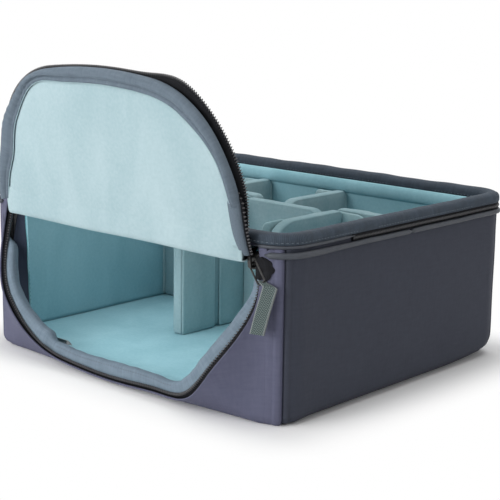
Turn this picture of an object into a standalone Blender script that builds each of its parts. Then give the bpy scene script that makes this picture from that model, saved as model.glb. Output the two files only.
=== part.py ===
"""Padded bag insert: an open-topped soft box with an arched zip door in one long wall.

Lengths are metres and +Z is up. The origin is the middle of the flat base, X runs along
the door wall, and that wall faces -Y. The door is drawn shut and then turned up about its
hinge line. The dividers stand on the floor and lift out.
"""

import math

import bmesh
import bpy
from mathutils import Matrix, Vector

# Box, measured over its outer cloth
BOX_WIDTH = 0.300
BOX_DEPTH = 0.256
BOX_HEIGHT = 0.126
CORNER_RADIUS = 0.021
FOOT_RADIUS = 0.0065

# Layers of a wall, from outside to inside
CLEARANCE = 0.0003
SKIN = 0.0012
WALL_FOAM = 0.0060
LINING = 0.0012

# Rim: a folded band over the wall's top, the lid's zip half under it, then the piping
RIM_BAND = 0.0016
RIM_BAND_LEG = 0.0060
RIM_LIP_LEG = 0.0060
LID_TAPE = 0.0008
LID_TAPE_WIDTH = 0.0050
LID_COIL = 0.0012
LID_COIL_WIDTH = 0.0020
LID_ZIP_START = 0.0430
PIPING_RADIUS = 0.0016
PIPING_LEAD = 0.0051

# Door arch: its parting line with the mouth, seen square to the wall
HEADER_HEIGHT = 0.0090
ARCH_SIDE_MARGIN = 0.0034
ARCH_SILL = 0.0110
ARCH_RADIUS = 0.0860
CROWN_SLOPE = math.radians(8)

# Door
DOOR_FOAM = 0.0052
DOOR_OPEN_ANGLE = math.radians(-172)
DOOR_TOP_GAP = 0.0008
DOOR_BINDING_WIDTH = 0.0060
HINGE_ROLL_RADIUS = 0.00115

# Zip chain of the door and its mouth
ZIP_PITCH = 0.0018
ZIP_TOOTH = 0.0012
ZIP_MESH_GAP = 0.0007
ZIP_COIL = 0.0018
ZIP_COIL_WIDTH = 0.0023
ZIP_TAPE = 0.0006
ZIP_SEAM = 0.0012
ZIP_END = 0.0030
MOUTH_ZIP_START = 0.0050
DOOR_ZIP_START = 0.0250

# Borders of the mouth
MOUTH_BINDING_DEPTH = 0.0027

# Slider, its wire pull and the woven ribbon
SLIDER_LENGTH = 0.0110
SLIDER_WIDTH = 0.0098
SLIDER_CHAMFER = 0.0016
SLIDER_PLATE = 0.0011
SLIDER_FLANGE = 0.0006
SLIDER_NECK = 0.0010
SLIDER_NECK_LENGTH = 0.0030
SLIDER_SHIFT = 0.0013
SLIDER_RUN = 0.0095
BAIL_WIDTH = 0.0022
BAIL_POST = 0.0013
BAIL_SPAN = 0.0082
BAIL_ROOM = 0.0034
BAIL_DROP = 0.0011
PULL_WIRE = 0.00065
PULL_HALF_WIDTH = 0.0033
PULL_BEND = 0.0013
PULL_LENGTH = 0.0145
PULL_TILT = math.radians(35)
RIBBON_LENGTH = 0.0360
RIBBON_WIDTH = 0.0110
RIBBON_NECK_WIDTH = 0.0030
RIBBON_SHOULDER = 0.0050
RIBBON_CORNER = 0.0010
RIBBON_THICKNESS = 0.0018
RIBBON_EYE_WALL = 0.0007

# Dividers: padded boards with a hook wing at each end
PAD = 0.0100
PAD_BELOW_RIM = 0.0160
PAD_CORNER = 0.0140
PAD_EDGE = 0.0022
PAD_COVER = 0.0012
WING = 0.0015
WING_WIDTH = 0.0360
WING_DROP = 0.0010
WING_CORNER = 0.0120
WING_SPARE = 0.0050

# Where each divider's middle stands, from the lining it faces
BAY_RIGHT_ROOM = 0.0860
BAY_LEFT_ROOM = 0.1030
SIDE_ROW_ROOM = 0.0690
BAY_BACK_STEP = 0.0160
REAR_RIGHT_ROOM = 0.1420
REAR_LEFT_ROOM = 0.0570

# How finely curves are cut
CORNER_STEPS = 5
FOOT_STEPS = 3
BEND_STEPS = 4
EDGE_STEPS = 2
WIRE_SIDES = 6
ROLL_SIDES = 10
ARC_STEP = 0.0075
OVERRUN = 0.0200

# Sizes that follow from the ones above
FRONT = -BOX_DEPTH / 2
FOAM_INSET = SKIN + CLEARANCE
LINING_INSET = FOAM_INSET + WALL_FOAM + CLEARANCE
WALL = LINING_INSET + LINING
INNER_X = BOX_WIDTH / 2 - WALL
INNER_Y = BOX_DEPTH / 2 - WALL
WALL_TOP = BOX_HEIGHT - RIM_BAND - CLEARANCE
LINING_TOP = BOX_HEIGHT - RIM_LIP_LEG - CLEARANCE
SEAM_Y = BOX_DEPTH / 2 - CORNER_RADIUS * (1 - math.cos(math.pi / 4))
HINGE_HEIGHT = BOX_HEIGHT - HEADER_HEIGHT
HINGE_Y = FRONT - HINGE_ROLL_RADIUS - CLEARANCE
BAND_FOOT = BOX_HEIGHT - RIM_BAND_LEG
LID_ZIP_TOP = BAND_FOOT - CLEARANCE
LID_ZIP_FOOT = LID_ZIP_TOP - LID_TAPE_WIDTH
PIPING_HEIGHT = LID_ZIP_FOOT - CLEARANCE - PIPING_RADIUS
PIPING_START_X = BOX_WIDTH / 2 - CORNER_RADIUS + PIPING_LEAD

# The parting line is a corner arc, a crown arc and a mirrored corner arc, all tangent
ARCH_HALF_WIDTH = BOX_WIDTH / 2 - CORNER_RADIUS - ARCH_SIDE_MARGIN
ARCH_DROP = HINGE_HEIGHT - ARCH_SILL
CORNER_X = ARCH_HALF_WIDTH - ARCH_RADIUS
TURN_END = math.pi / 2 - CROWN_SLOPE
CROWN_RADIUS = (CORNER_X + ARCH_RADIUS * math.cos(TURN_END)) / math.sin(CROWN_SLOPE)
CROWN_SAG = CROWN_RADIUS * (1 - math.cos(CROWN_SLOPE))
CORNER_DROP = ARCH_DROP - CROWN_SAG - ARCH_RADIUS * math.sin(TURN_END)
TURN_START = -math.asin(CORNER_DROP / ARCH_RADIUS)
CORNER_RUN = ARCH_RADIUS * (TURN_END - TURN_START)
ARCH_RUN = 2 * (CORNER_RUN + CROWN_RADIUS * CROWN_SLOPE)

# Offsets from the parting line, and depths behind the wall's outer face
ZIP_DEPTH = SKIN + 2 * CLEARANCE + ZIP_TAPE / 2
TAPE_BACK = ZIP_DEPTH + ZIP_TAPE / 2 + CLEARANCE
SLIDER_ROOM = ZIP_COIL / 2 + CLEARANCE
SLIDER_FACE = ZIP_DEPTH - SLIDER_ROOM - SLIDER_PLATE
SLIDER_ANGLE = TURN_START + SLIDER_RUN / ARCH_RADIUS
MOUTH_EDGE = SLIDER_WIDTH / 2 - SLIDER_SHIFT + 2 * CLEARANCE
MOUTH_TAPE_EDGE = MOUTH_EDGE + ZIP_SEAM
MOUTH_OPENING = MOUTH_TAPE_EDGE + CLEARANCE
MOUTH_BINDING_BACK = TAPE_BACK + MOUTH_BINDING_DEPTH
DOOR_EDGE = SLIDER_WIDTH / 2 + SLIDER_SHIFT + CLEARANCE
DOOR_TAPE_EDGE = DOOR_EDGE + ZIP_SEAM
DOOR_FOAM_EDGE = DOOR_TAPE_EDGE + CLEARANCE
DOOR_BINDING_EDGE = DOOR_EDGE + DOOR_BINDING_WIDTH
DOOR_LINING_EDGE = DOOR_BINDING_EDGE + CLEARANCE
DOOR_LINING_FACE = FOAM_INSET + DOOR_FOAM + CLEARANCE
DOOR_THICKNESS = DOOR_LINING_FACE + LINING
PULL_DEPTH = SLIDER_FACE - BAIL_ROOM / 2
RIBBON_EYE = PULL_WIRE + CLEARANCE

# Where the dividers stand
PAD_FOOT = WALL + CLEARANCE
PAD_TOP = BOX_HEIGHT - PAD_BELOW_RIM
BAY_RIGHT_X = INNER_X - BAY_RIGHT_ROOM
BAY_LEFT_X = BAY_LEFT_ROOM - INNER_X
SIDE_ROW_Y = INNER_Y - SIDE_ROW_ROOM
BAY_BACK_Y = SIDE_ROW_Y - BAY_BACK_STEP
REAR_RIGHT_X = INNER_X - REAR_RIGHT_ROOM
REAR_LEFT_X = REAR_LEFT_ROOM - INNER_X
WING_TOP = PAD_TOP - WING_DROP
WING_ROOM = WING + 2 * CLEARANCE
BAY_FRONT_Y = BAY_BACK_Y + PAD / 2 - 2 * WING_WIDTH - WING_SPARE

# Colour, roughness and metallic of each material
MATERIALS = {
    "front_cloth": ((0.107, 0.107, 0.165), 0.85, 0.0),
    "side_cloth": ((0.037, 0.042, 0.058), 0.85, 0.0),
    "foam": ((0.42, 0.43, 0.44), 0.95, 0.0),
    "teal_lining": ((0.115, 0.300, 0.352), 0.90, 0.0),
    "door_lining": ((0.462, 0.610, 0.651), 0.90, 0.0),
    "rim_cloth": ((0.060, 0.085, 0.105), 0.85, 0.0),
    "binding": ((0.114, 0.159, 0.238), 0.80, 0.0),
    "facing": ((0.012, 0.017, 0.030), 0.85, 0.0),
    "zip_tape": ((0.010, 0.010, 0.013), 0.75, 0.0),
    "piping": ((0.110, 0.115, 0.160), 0.70, 0.0),
    "gunmetal": ((0.090, 0.085, 0.080), 0.35, 1.0),
    "ribbon": ((0.170, 0.190, 0.200), 0.90, 0.0),
    "divider_cloth": ((0.115, 0.300, 0.352), 0.90, 0.0),
    "wing_cloth": ((0.330, 0.500, 0.530), 0.90, 0.0),
}


def make_material(name):
    colour, roughness, metallic = MATERIALS[name]
    material = bpy.data.materials.new(name)
    material.use_nodes = True
    shader = material.node_tree.nodes["Principled BSDF"]
    shader.inputs["Base Color"].default_value = (*colour, 1.0)
    shader.inputs["Roughness"].default_value = roughness
    shader.inputs["Metallic"].default_value = metallic
    return material


def make_solid(name, points, faces, slot="foam"):
    """A closed mesh object with outward normals."""
    mesh = bpy.data.meshes.new(name)
    mesh.from_pydata([tuple(point) for point in points], [], faces)
    shape = bmesh.new()
    shape.from_mesh(mesh)
    bmesh.ops.recalc_face_normals(shape, faces=shape.faces)
    shape.to_mesh(mesh)
    shape.free()
    if slot not in bpy.data.materials:
        make_material(slot)
    mesh.materials.append(bpy.data.materials[slot])
    item = bpy.data.objects.new(name, mesh)
    bpy.context.collection.objects.link(item)
    return item


def loft(name, rings, slot="foam", closed=False):
    """Quads between rings of equal length, with a flat cap on the first and the last."""
    size = len(rings[0])
    pairs = [(i, i + 1) for i in range(len(rings) - 1)]
    if closed:
        pairs.append((len(rings) - 1, 0))
    faces = []
    for low, high in pairs:
        for i in range(size):
            j = (i + 1) % size
            faces.append((low * size + i, low * size + j, high * size + j, high * size + i))
    if not closed:
        last = (len(rings) - 1) * size
        faces.append(tuple(range(size)))
        faces.append(tuple(range(last, last + size)))
    return make_solid(name, [point for ring in rings for point in ring], faces, slot)


def prism(name, outline, low, high, frame, slot="foam"):
    """An outline (a, b) swept from low to high along the third axis of a frame."""
    rings = [[frame @ Vector((a, b, c)) for a, b in outline] for c in (low, high)]
    return loft(name, rings, slot)


def block(low, high):
    corners = [(low[0], low[1]), (high[0], low[1]), (high[0], high[1]), (low[0], high[1])]
    return prism("block", corners, low[2], high[2], Matrix())


def bake(item):
    """Keep the item's modified mesh and drop its modifiers."""
    view = bpy.context.evaluated_depsgraph_get()
    mesh = bpy.data.meshes.new_from_object(item.evaluated_get(view))
    item.modifiers.clear()
    item.data = mesh
    return item


def combine(item, tool, operation):
    """Join, cut or intersect the item with a tool solid, which is then removed."""
    modifier = item.modifiers.new(operation, "BOOLEAN")
    modifier.operation = operation
    modifier.solver = "EXACT"
    modifier.object = tool
    tool.hide_render = True
    tool.display_type = "WIRE"
    bake(item)
    bpy.data.objects.remove(tool)
    return item


def keep(item, low, high):
    return combine(item, block(low, high), "INTERSECT")


def smooth(item):
    for face in item.data.polygons:
        face.use_smooth = True
    return item


def set_origin(item, point):
    """Move the object's origin to a point and leave its mesh where it is."""
    item.data.transform(Matrix.Translation(-Vector(point)))
    item.location = point
    return item


def turn(item, pivot, axis, angle):
    """Turn the mesh about a line and put the object's origin on that line."""
    spin = Matrix.Rotation(angle, 4, axis)
    set_origin(item, pivot)
    item.data.transform(spin)
    return item


# Plan rings of the box's walls


def plan_ring(inset, height):
    """The box's rounded plan, moved in by an inset, at a height."""
    radius = CORNER_RADIUS - inset
    centre_x = BOX_WIDTH / 2 - CORNER_RADIUS
    centre_y = BOX_DEPTH / 2 - CORNER_RADIUS
    points = []
    for quarter in range(4):
        side_x = 1 if quarter in (0, 3) else -1
        side_y = 1 if quarter in (0, 1) else -1
        for step in range(CORNER_STEPS + 1):
            angle = math.pi / 2 * (quarter + step / CORNER_STEPS)
            x = side_x * centre_x + radius * math.cos(angle)
            y = side_y * centre_y + radius * math.sin(angle)
            points.append((x, y, height))
    return points


def foot_profile(layer):
    """Inset and height of a layer's rounded foot, from its flat underside upward."""
    radius = FOOT_RADIUS - layer
    points = []
    for step in range(FOOT_STEPS + 1):
        angle = math.pi / 2 * (1 - step / FOOT_STEPS)
        inset = FOOT_RADIUS - radius * math.cos(angle)
        points.append((inset, FOOT_RADIUS - radius * math.sin(angle)))
    return points


def wall_loft(name, profile, slot, closed=False):
    return loft(name, [plan_ring(inset, height) for inset, height in profile], slot, closed)


# The parting line of the door and the mouth


def along(run, offset):
    """Point (x, z) at a run from the line's right end, moved outward by an offset."""
    if run > ARCH_RUN / 2:
        x, z = along(ARCH_RUN - run, offset)
        return -x, z
    if run < CORNER_RUN:
        angle = TURN_START + run / ARCH_RADIUS
        reach = ARCH_RADIUS + offset
        x = CORNER_X + reach * math.cos(angle)
        return x, HINGE_HEIGHT - CORNER_DROP - reach * math.sin(angle)
    angle = CROWN_SLOPE - (run - CORNER_RUN) / CROWN_RADIUS
    reach = CROWN_RADIUS + offset
    return reach * math.sin(angle), HINGE_HEIGHT - ARCH_DROP + CROWN_RADIUS - reach * math.cos(angle)


def stretch(start, offset):
    """Points of the offset line from a run on the right to the same run on the left."""
    length = ARCH_RUN - 2 * start
    count = math.ceil(length / ARC_STEP)
    return [along(start + length * i / count, offset) for i in range(count + 1)]


def arch(offset, drop):
    """Points of the offset line, starting and ending at a drop under the hinge."""
    angle = -math.asin((CORNER_DROP - drop) / (ARCH_RADIUS + offset))
    return stretch(ARCH_RADIUS * (angle - TURN_START), offset)


# Frames for outlines drawn in (x, z) and swept along Y, and drawn in (y, z) and swept along X
ALONG_X = Matrix(((1, 0, 0, 0), (0, 0, 1, 0), (0, 1, 0, 0), (0, 0, 0, 1)))
ALONG_Y = Matrix(((0, 0, 1, 0), (1, 0, 0, 0), (0, 1, 0, 0), (0, 0, 0, 1)))
WALL_FRAME = Matrix.Translation((0, FRONT, 0)) @ ALONG_X


def arch_panel(name, offset, drop, front, back, slot="foam"):
    return prism(name, arch(offset, drop), front, back, WALL_FRAME, slot)


def arch_strip(name, outer, inner, drop, front, back, slot="foam"):
    outline = arch(outer, drop) + arch(inner, drop)[::-1]
    return prism(name, outline, front, back, WALL_FRAME, slot)


def mouth_cutter(offset, back):
    return arch_panel("mouth", offset, 0, -OVERRUN, back)


# Outer cloth: the front and rear panels, and one wrap for both sides and the base


def make_shell_panel(name, low_y, high_y, slot):
    outside = foot_profile(0) + [(0, WALL_TOP)]
    inside = foot_profile(SKIN) + [(SKIN, WALL_TOP)]
    panel = wall_loft(name, outside + inside[::-1], slot)
    low = (-BOX_WIDTH, low_y, -OVERRUN)
    high = (BOX_WIDTH, high_y, BOX_HEIGHT + OVERRUN)
    return keep(panel, low, high)


def make_outer_cloth():
    seam = SEAM_Y - CLEARANCE / 2
    panel_edge = SEAM_Y + CLEARANCE / 2
    front = make_shell_panel("front_panel", -BOX_DEPTH, -panel_edge, "front_cloth")
    combine(front, mouth_cutter(MOUTH_EDGE, LINING_INSET), "DIFFERENCE")
    make_shell_panel("rear_panel", panel_edge, BOX_DEPTH, "front_cloth")
    make_shell_panel("gusset_wrap", -seam, seam, "side_cloth")


# Foam boards and lining panels: four walls and a floor each


def make_wall_layer(prefix, slot, inset, thickness, top):
    """Four boards of one layer: the long ones run past the ends of the short ones."""
    foot = FOAM_INSET + WALL_FOAM + CLEARANCE
    split_y = BOX_DEPTH / 2 - inset - thickness
    side_y = split_y - CLEARANCE
    profile = [(inset, foot), (inset, top), (inset + thickness, top), (inset + thickness, foot)]
    far_x, far_y, far_z = BOX_WIDTH, BOX_DEPTH, BOX_HEIGHT + OVERRUN
    limits = {
        "front": ((-far_x, -far_y, 0), (far_x, -split_y, far_z)),
        "rear": ((-far_x, split_y, 0), (far_x, far_y, far_z)),
        "left": ((-far_x, -side_y, 0), (0, side_y, far_z)),
        "right": ((0, -side_y, 0), (far_x, side_y, far_z)),
    }
    for side, (low, high) in limits.items():
        board = wall_loft(prefix + "_" + side, profile, slot, closed=True)
        keep(board, low, high)
        if side != "rear":
            combine(board, mouth_cutter(MOUTH_OPENING, WALL + CLEARANCE), "DIFFERENCE")


def make_foam():
    make_wall_layer("foam", "foam", FOAM_INSET, WALL_FOAM, WALL_TOP)
    profile = foot_profile(FOAM_INSET) + [(FOAM_INSET, FOAM_INSET + WALL_FOAM)]
    base = wall_loft("foam_base", profile, "foam")
    combine(base, mouth_cutter(MOUTH_OPENING, WALL + CLEARANCE), "DIFFERENCE")


def make_lining():
    make_wall_layer("lining", "teal_lining", LINING_INSET, LINING, LINING_TOP)
    edge = WALL + CLEARANCE
    wall_loft("lining_base", [(edge, LINING_INSET), (edge, WALL)], "teal_lining")


# Rim: folded band, the lid's zip half and the piping


def make_rim():
    outer = -CLEARANCE - RIM_BAND
    lip = BOX_HEIGHT - RIM_LIP_LEG
    profile = [
        (outer, BAND_FOOT),
        (outer, BOX_HEIGHT - RIM_BAND),
        (-CLEARANCE, BOX_HEIGHT),
        (LINING_INSET, BOX_HEIGHT),
        (WALL, BOX_HEIGHT - RIM_BAND),
        (WALL, lip),
        (LINING_INSET, lip),
        (LINING_INSET, WALL_TOP + CLEARANCE),
        (-CLEARANCE, WALL_TOP + CLEARANCE),
        (-CLEARANCE, BAND_FOOT),
    ]
    smooth(wall_loft("rim_band", profile, "rim_cloth", closed=True))


def make_lid_zip():
    tape = -CLEARANCE - LID_TAPE
    coil = tape - LID_COIL
    middle = (LID_ZIP_TOP + LID_ZIP_FOOT) / 2
    profile = [
        (-CLEARANCE, LID_ZIP_FOOT),
        (-CLEARANCE, LID_ZIP_TOP),
        (tape, LID_ZIP_TOP),
        (tape, middle + LID_COIL_WIDTH / 2),
        (coil, middle + LID_COIL_WIDTH / 4),
        (coil, middle - LID_COIL_WIDTH / 4),
        (tape, middle - LID_COIL_WIDTH / 2),
        (tape, LID_ZIP_FOOT),
    ]
    half = wall_loft("rim_zip_half", profile, "zip_tape", closed=True)
    low = (-BOX_WIDTH, FRONT + LID_ZIP_START, 0)
    keep(half, low, (BOX_WIDTH, BOX_DEPTH, BOX_HEIGHT))


def make_piping():
    profile = []
    for step in range(WIRE_SIDES):
        angle = 2 * math.pi * step / WIRE_SIDES
        inset = -CLEARANCE - PIPING_RADIUS * (1 + math.cos(angle))
        profile.append((inset, PIPING_HEIGHT + PIPING_RADIUS * math.sin(angle)))
    bead = wall_loft("rim_piping", profile, "piping", closed=True)
    low = (-PIPING_START_X, -BOX_DEPTH, 0)
    gap = block(low, (PIPING_START_X, 0, BOX_HEIGHT))
    smooth(combine(bead, gap, "DIFFERENCE"))


# Mouth: binding behind the tape, facing over the wall's thickness, hinge roll


def make_mouth():
    edges = (MOUTH_TAPE_EDGE, MOUTH_EDGE, CLEARANCE)
    arch_strip("mouth_binding", *edges, TAPE_BACK, MOUTH_BINDING_BACK, "binding")
    facing_front = MOUTH_BINDING_BACK + CLEARANCE
    arch_strip("mouth_facing", *edges, facing_front, WALL, "facing")


def make_hinge_roll():
    half = along(0, -DOOR_EDGE)[0]
    outline = []
    for step in range(ROLL_SIDES):
        angle = 2 * math.pi * step / ROLL_SIDES
        y = HINGE_Y + HINGE_ROLL_RADIUS * math.cos(angle)
        outline.append((y, HINGE_HEIGHT + HINGE_ROLL_RADIUS * math.sin(angle)))
    smooth(prism("door_hinge_roll", outline, -half, half, ALONG_Y, "binding"))


# Zip halves: a toothed coil on a flat tape, each tooth facing a gap of the other half


def make_zip_half(name, side, start, tape_edge):
    """The toothed edge steps out and in by half a tooth at every half pitch."""
    teeth = math.floor((ARCH_RUN - 2 * start) / ZIP_PITCH)
    first = (ARCH_RUN - teeth * ZIP_PITCH) / 2
    outline = []
    for step in range(2 * teeth + 1):
        swing = ZIP_TOOTH / 2 if step % 2 else -ZIP_TOOTH / 2
        offset = side * ZIP_MESH_GAP / 2 + swing
        outline.append(along(first + step * ZIP_PITCH / 2, offset))
    outline += stretch(first, side * ZIP_COIL_WIDTH)[::-1]
    front = ZIP_DEPTH - ZIP_COIL / 2
    half = prism(name, outline, front, front + ZIP_COIL, WALL_FRAME, "zip_tape")
    tape_start = first - ZIP_END
    inner = stretch(tape_start, side * (ZIP_COIL_WIDTH + ZIP_MESH_GAP) / 2)
    outer = stretch(tape_start, side * tape_edge)
    front = ZIP_DEPTH - ZIP_TAPE / 2
    tape = prism("tape", inner + outer[::-1], front, front + ZIP_TAPE, WALL_FRAME, "zip_tape")
    return combine(half, tape, "UNION")


# Door, drawn shut


def open_door(item):
    pivot = (0, HINGE_Y, HINGE_HEIGHT)
    return turn(item, pivot, "X", DOOR_OPEN_ANGLE)


def make_door():
    drop = DOOR_TOP_GAP
    open_door(arch_panel("door_skin", -DOOR_EDGE, drop, 0, SKIN, "front_cloth"))
    foam_back = FOAM_INSET + DOOR_FOAM
    open_door(arch_panel("door_foam", -DOOR_FOAM_EDGE, drop, FOAM_INSET, foam_back, "foam"))
    faces = (DOOR_LINING_FACE, DOOR_THICKNESS)
    open_door(arch_panel("door_lining", -DOOR_LINING_EDGE, drop, *faces, "door_lining"))
    edge = (-DOOR_EDGE, -DOOR_TAPE_EDGE, drop, TAPE_BACK)
    binding = arch_strip("door_binding", *edge, DOOR_THICKNESS, "binding")
    fold = arch_strip("fold", -DOOR_EDGE, -DOOR_BINDING_EDGE, drop, *faces, "binding")
    open_door(combine(binding, fold, "UNION"))
    open_door(make_zip_half("door_zip_half", -1, DOOR_ZIP_START, DOOR_TAPE_EDGE))


# Slider: outward, along the zip and away from the wall, in a frame turned to the arc

SLIDER_CENTRE = along(SLIDER_RUN, -SLIDER_SHIFT)
SLIDER_FRAME = Matrix((
    (math.cos(SLIDER_ANGLE), -math.sin(SLIDER_ANGLE), 0, SLIDER_CENTRE[0]),
    (0, 0, 1, FRONT),
    (-math.sin(SLIDER_ANGLE), -math.cos(SLIDER_ANGLE), 0, SLIDER_CENTRE[1]),
    (0, 0, 0, 1),
))


def slider_block(low, high):
    corners = [(low[0], low[1]), (high[0], low[1]), (high[0], high[1]), (low[0], high[1])]
    return prism("block", corners, low[2], high[2], SLIDER_FRAME, "gunmetal")


def slider_outline():
    half, end, cut = SLIDER_WIDTH / 2, SLIDER_LENGTH / 2, SLIDER_CHAMFER
    quarter = [(half, end - cut), (half - cut, end)]
    right = quarter + [(-a, b) for a, b in quarter[::-1]]
    return right + [(-a, -b) for a, b in right]


def make_slider():
    outline = slider_outline()
    front = SLIDER_FACE
    body = prism("slider_body", outline, front, front + SLIDER_PLATE, SLIDER_FRAME, "gunmetal")
    rear = ZIP_DEPTH + SLIDER_ROOM
    plate = prism("plate", outline, rear, rear + SLIDER_PLATE, SLIDER_FRAME, "gunmetal")
    combine(body, plate, "UNION")
    half, end = SLIDER_WIDTH / 2, SLIDER_LENGTH / 2
    skin = SLIDER_PLATE / 2
    neck_low = (-SLIDER_NECK / 2, end - SLIDER_NECK_LENGTH, front + skin)
    neck_high = (SLIDER_NECK / 2, end - SLIDER_FLANGE, rear + skin)
    combine(body, slider_block(neck_low, neck_high), "UNION")
    slot = ZIP_TAPE / 2 + CLEARANCE
    reach = end - SLIDER_CHAMFER - SLIDER_FLANGE
    for side in (-1, 1):
        spans = sorted((side * (half - SLIDER_FLANGE), side * (half - SLIDER_FLANGE / 4)))
        for low, high in ((front + skin, ZIP_DEPTH - slot), (ZIP_DEPTH + slot, rear + skin)):
            flange = slider_block((spans[0], -reach, low), (spans[1], reach, high))
            combine(body, flange, "UNION")
    outer, inner = BAIL_SPAN / 2, BAIL_SPAN / 2 - BAIL_POST
    top = front - BAIL_ROOM - BAIL_POST
    for low, high in ((-outer, -inner), (inner, outer)):
        post = slider_block((-BAIL_WIDTH / 2, low, top + skin), (BAIL_WIDTH / 2, high, front + skin))
        combine(body, post, "UNION")
    shoulder = outer - BAIL_POST / 2
    bridge = [(-outer, top + BAIL_POST), (-shoulder, top), (shoulder, top), (outer, top + BAIL_POST)]
    frame = SLIDER_FRAME @ ALONG_Y
    width = BAIL_WIDTH / 2 + CLEARANCE / 2
    combine(body, prism("bridge", bridge, -width, width, frame, "gunmetal"), "UNION")
    set_origin(body, (CORNER_X, FRONT + ZIP_DEPTH, HINGE_HEIGHT - CORNER_DROP))


# Pull: a closed wire loop hung in the slider's bail, leaning outward

PULL_X, PULL_Y, PULL_Z = SLIDER_FRAME @ Vector((0, BAIL_DROP, PULL_DEPTH))
PULL_FRAME = Matrix((
    (math.cos(PULL_TILT), math.sin(PULL_TILT), 0, PULL_X),
    (0, 0, 1, PULL_Y),
    (math.sin(PULL_TILT), -math.cos(PULL_TILT), 0, PULL_Z),
    (0, 0, 0, 1),
))


def loop_path():
    """A rounded rectangle (across, down) with the way it faces outward at each point."""
    across = PULL_HALF_WIDTH - PULL_BEND
    low, high = PULL_BEND, PULL_LENGTH - PULL_BEND
    centres = [(across, high), (-across, high), (-across, low), (across, low)]
    path = []
    for quarter, (a, b) in enumerate(centres):
        for step in range(BEND_STEPS + 1):
            angle = math.pi / 2 * (quarter + step / BEND_STEPS)
            path.append(((a, b), (math.cos(angle), math.sin(angle))))
    return path


def make_pull():
    rings = []
    for (a, b), (out_a, out_b) in loop_path():
        ring = []
        for side in range(WIRE_SIDES):
            angle = 2 * math.pi * side / WIRE_SIDES
            reach = PULL_BEND + PULL_WIRE * math.cos(angle)
            lift = PULL_WIRE * math.sin(angle)
            ring.append(PULL_FRAME @ Vector((a + reach * out_a, b + reach * out_b, lift)))
        rings.append(ring)
    pull = smooth(loft("slider_pull", rings, "gunmetal", closed=True))
    set_origin(pull, (PULL_X, PULL_Y, PULL_Z))


# Ribbon: a flat woven strip with an eye around the loop's lower bar

RIBBON_PIVOT = PULL_FRAME @ Vector((0, PULL_LENGTH, 0))


def eye_rod(name, radius, half_length):
    outline = []
    for step in range(ROLL_SIDES):
        angle = 2 * math.pi * step / ROLL_SIDES
        outline.append((PULL_LENGTH + radius * math.cos(angle), radius * math.sin(angle)))
    frame = PULL_FRAME @ ALONG_Y
    return prism(name, outline, -half_length, half_length, frame, "ribbon")


def make_ribbon():
    neck, half, cut = RIBBON_NECK_WIDTH / 2, RIBBON_WIDTH / 2, RIBBON_CORNER
    top, foot = -RIBBON_SHOULDER, -RIBBON_LENGTH
    right = [(neck, 0), (neck, top), (half, top - cut), (half, foot + cut), (half - cut, foot)]
    outline = right + [(-a, b) for a, b in right[::-1]]
    frame = Matrix.Translation(RIBBON_PIVOT) @ ALONG_X
    thick = RIBBON_THICKNESS / 2
    ribbon = prism("pull_tab", outline, -thick, thick, frame, "ribbon")
    combine(ribbon, eye_rod("sleeve", RIBBON_EYE + RIBBON_EYE_WALL, neck), "UNION")
    combine(ribbon, eye_rod("eye", RIBBON_EYE, PULL_HALF_WIDTH), "DIFFERENCE")
    set_origin(ribbon, RIBBON_PIVOT)


# Dividers


def board_outline(start, end, foot, top, radius, rounded=(True, True)):
    """A board seen from its face, with its upper corners rounded where asked."""
    outline = [(start, foot), (end, foot)]
    for side, corner in ((1, end), (-1, start)):
        if not rounded[0 if side < 0 else 1]:
            outline.append((corner, top))
            continue
        steps = range(CORNER_STEPS + 1)
        for step in steps if side > 0 else reversed(steps):
            angle = math.pi / 2 * step / CORNER_STEPS
            reach = radius * (1 - math.cos(angle))
            outline.append((corner - side * reach, top - radius * (1 - math.sin(angle))))
    return outline


def pad_ring(frame, start, end, inset, foot, place):
    """The pad's outline at a place across its thickness, moved in by an inset."""
    outline = board_outline(start + inset, end - inset, foot, PAD_TOP - inset, PAD_CORNER - inset)
    return [frame @ Vector((a, b, place)) for a, b in outline]


def make_pad(name, frame, centre, start, end):
    """A cover with rounded edges, hollow and open at its foot, and the board in it."""
    half = PAD / 2
    rings = []
    for side in (-1, 1):
        for step in range(EDGE_STEPS + 1):
            angle = math.pi / 2 * (step if side < 0 else EDGE_STEPS - step) / EDGE_STEPS
            inset = PAD_EDGE * (1 - math.sin(angle))
            place = centre + side * (half - PAD_EDGE * (1 - math.cos(angle)))
            rings.append(pad_ring(frame, start, end, inset, PAD_FOOT, place))
    cover = loft(name + "_cover", rings, "divider_cloth")
    places = (centre - half + PAD_COVER, centre + half - PAD_COVER)
    foot = PAD_FOOT - OVERRUN
    rings = [pad_ring(frame, start, end, PAD_COVER, foot, place) for place in places]
    combine(cover, loft("hollow", rings), "DIFFERENCE")
    layer = PAD_COVER + CLEARANCE
    places = (centre - half + layer, centre + half - layer)
    rings = [pad_ring(frame, start, end, layer, PAD_FOOT, place) for place in places]
    loft(name + "_core", rings, "foam")


def make_end_wing(name, frame, other, centre, end, side, fold):
    """A wing across the pad's end, starting at the pad's far face."""
    near = end + side * CLEARANCE
    faces = sorted((near, near + side * WING))
    root = centre - fold * PAD / 2
    spans = sorted((root, root + fold * WING_WIDTH))
    rounded = (fold < 0, fold > 0)
    outline = board_outline(*spans, PAD_FOOT, WING_TOP, WING_CORNER, rounded)
    prism(name, outline, *faces, other, "wing_cloth")


def make_face_wing(name, frame, other, centre, end, side, fold):
    """A free wing folded back flat on the pad's own face."""
    near = centre + fold * (PAD / 2 + CLEARANCE)
    faces = sorted((near, near + fold * WING))
    spans = sorted((end, end - side * WING_WIDTH))
    rounded = (side > 0, side < 0)
    outline = board_outline(*spans, PAD_FOOT, WING_TOP, WING_CORNER, rounded)
    prism(name, outline, *faces, frame, "wing_cloth")


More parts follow.
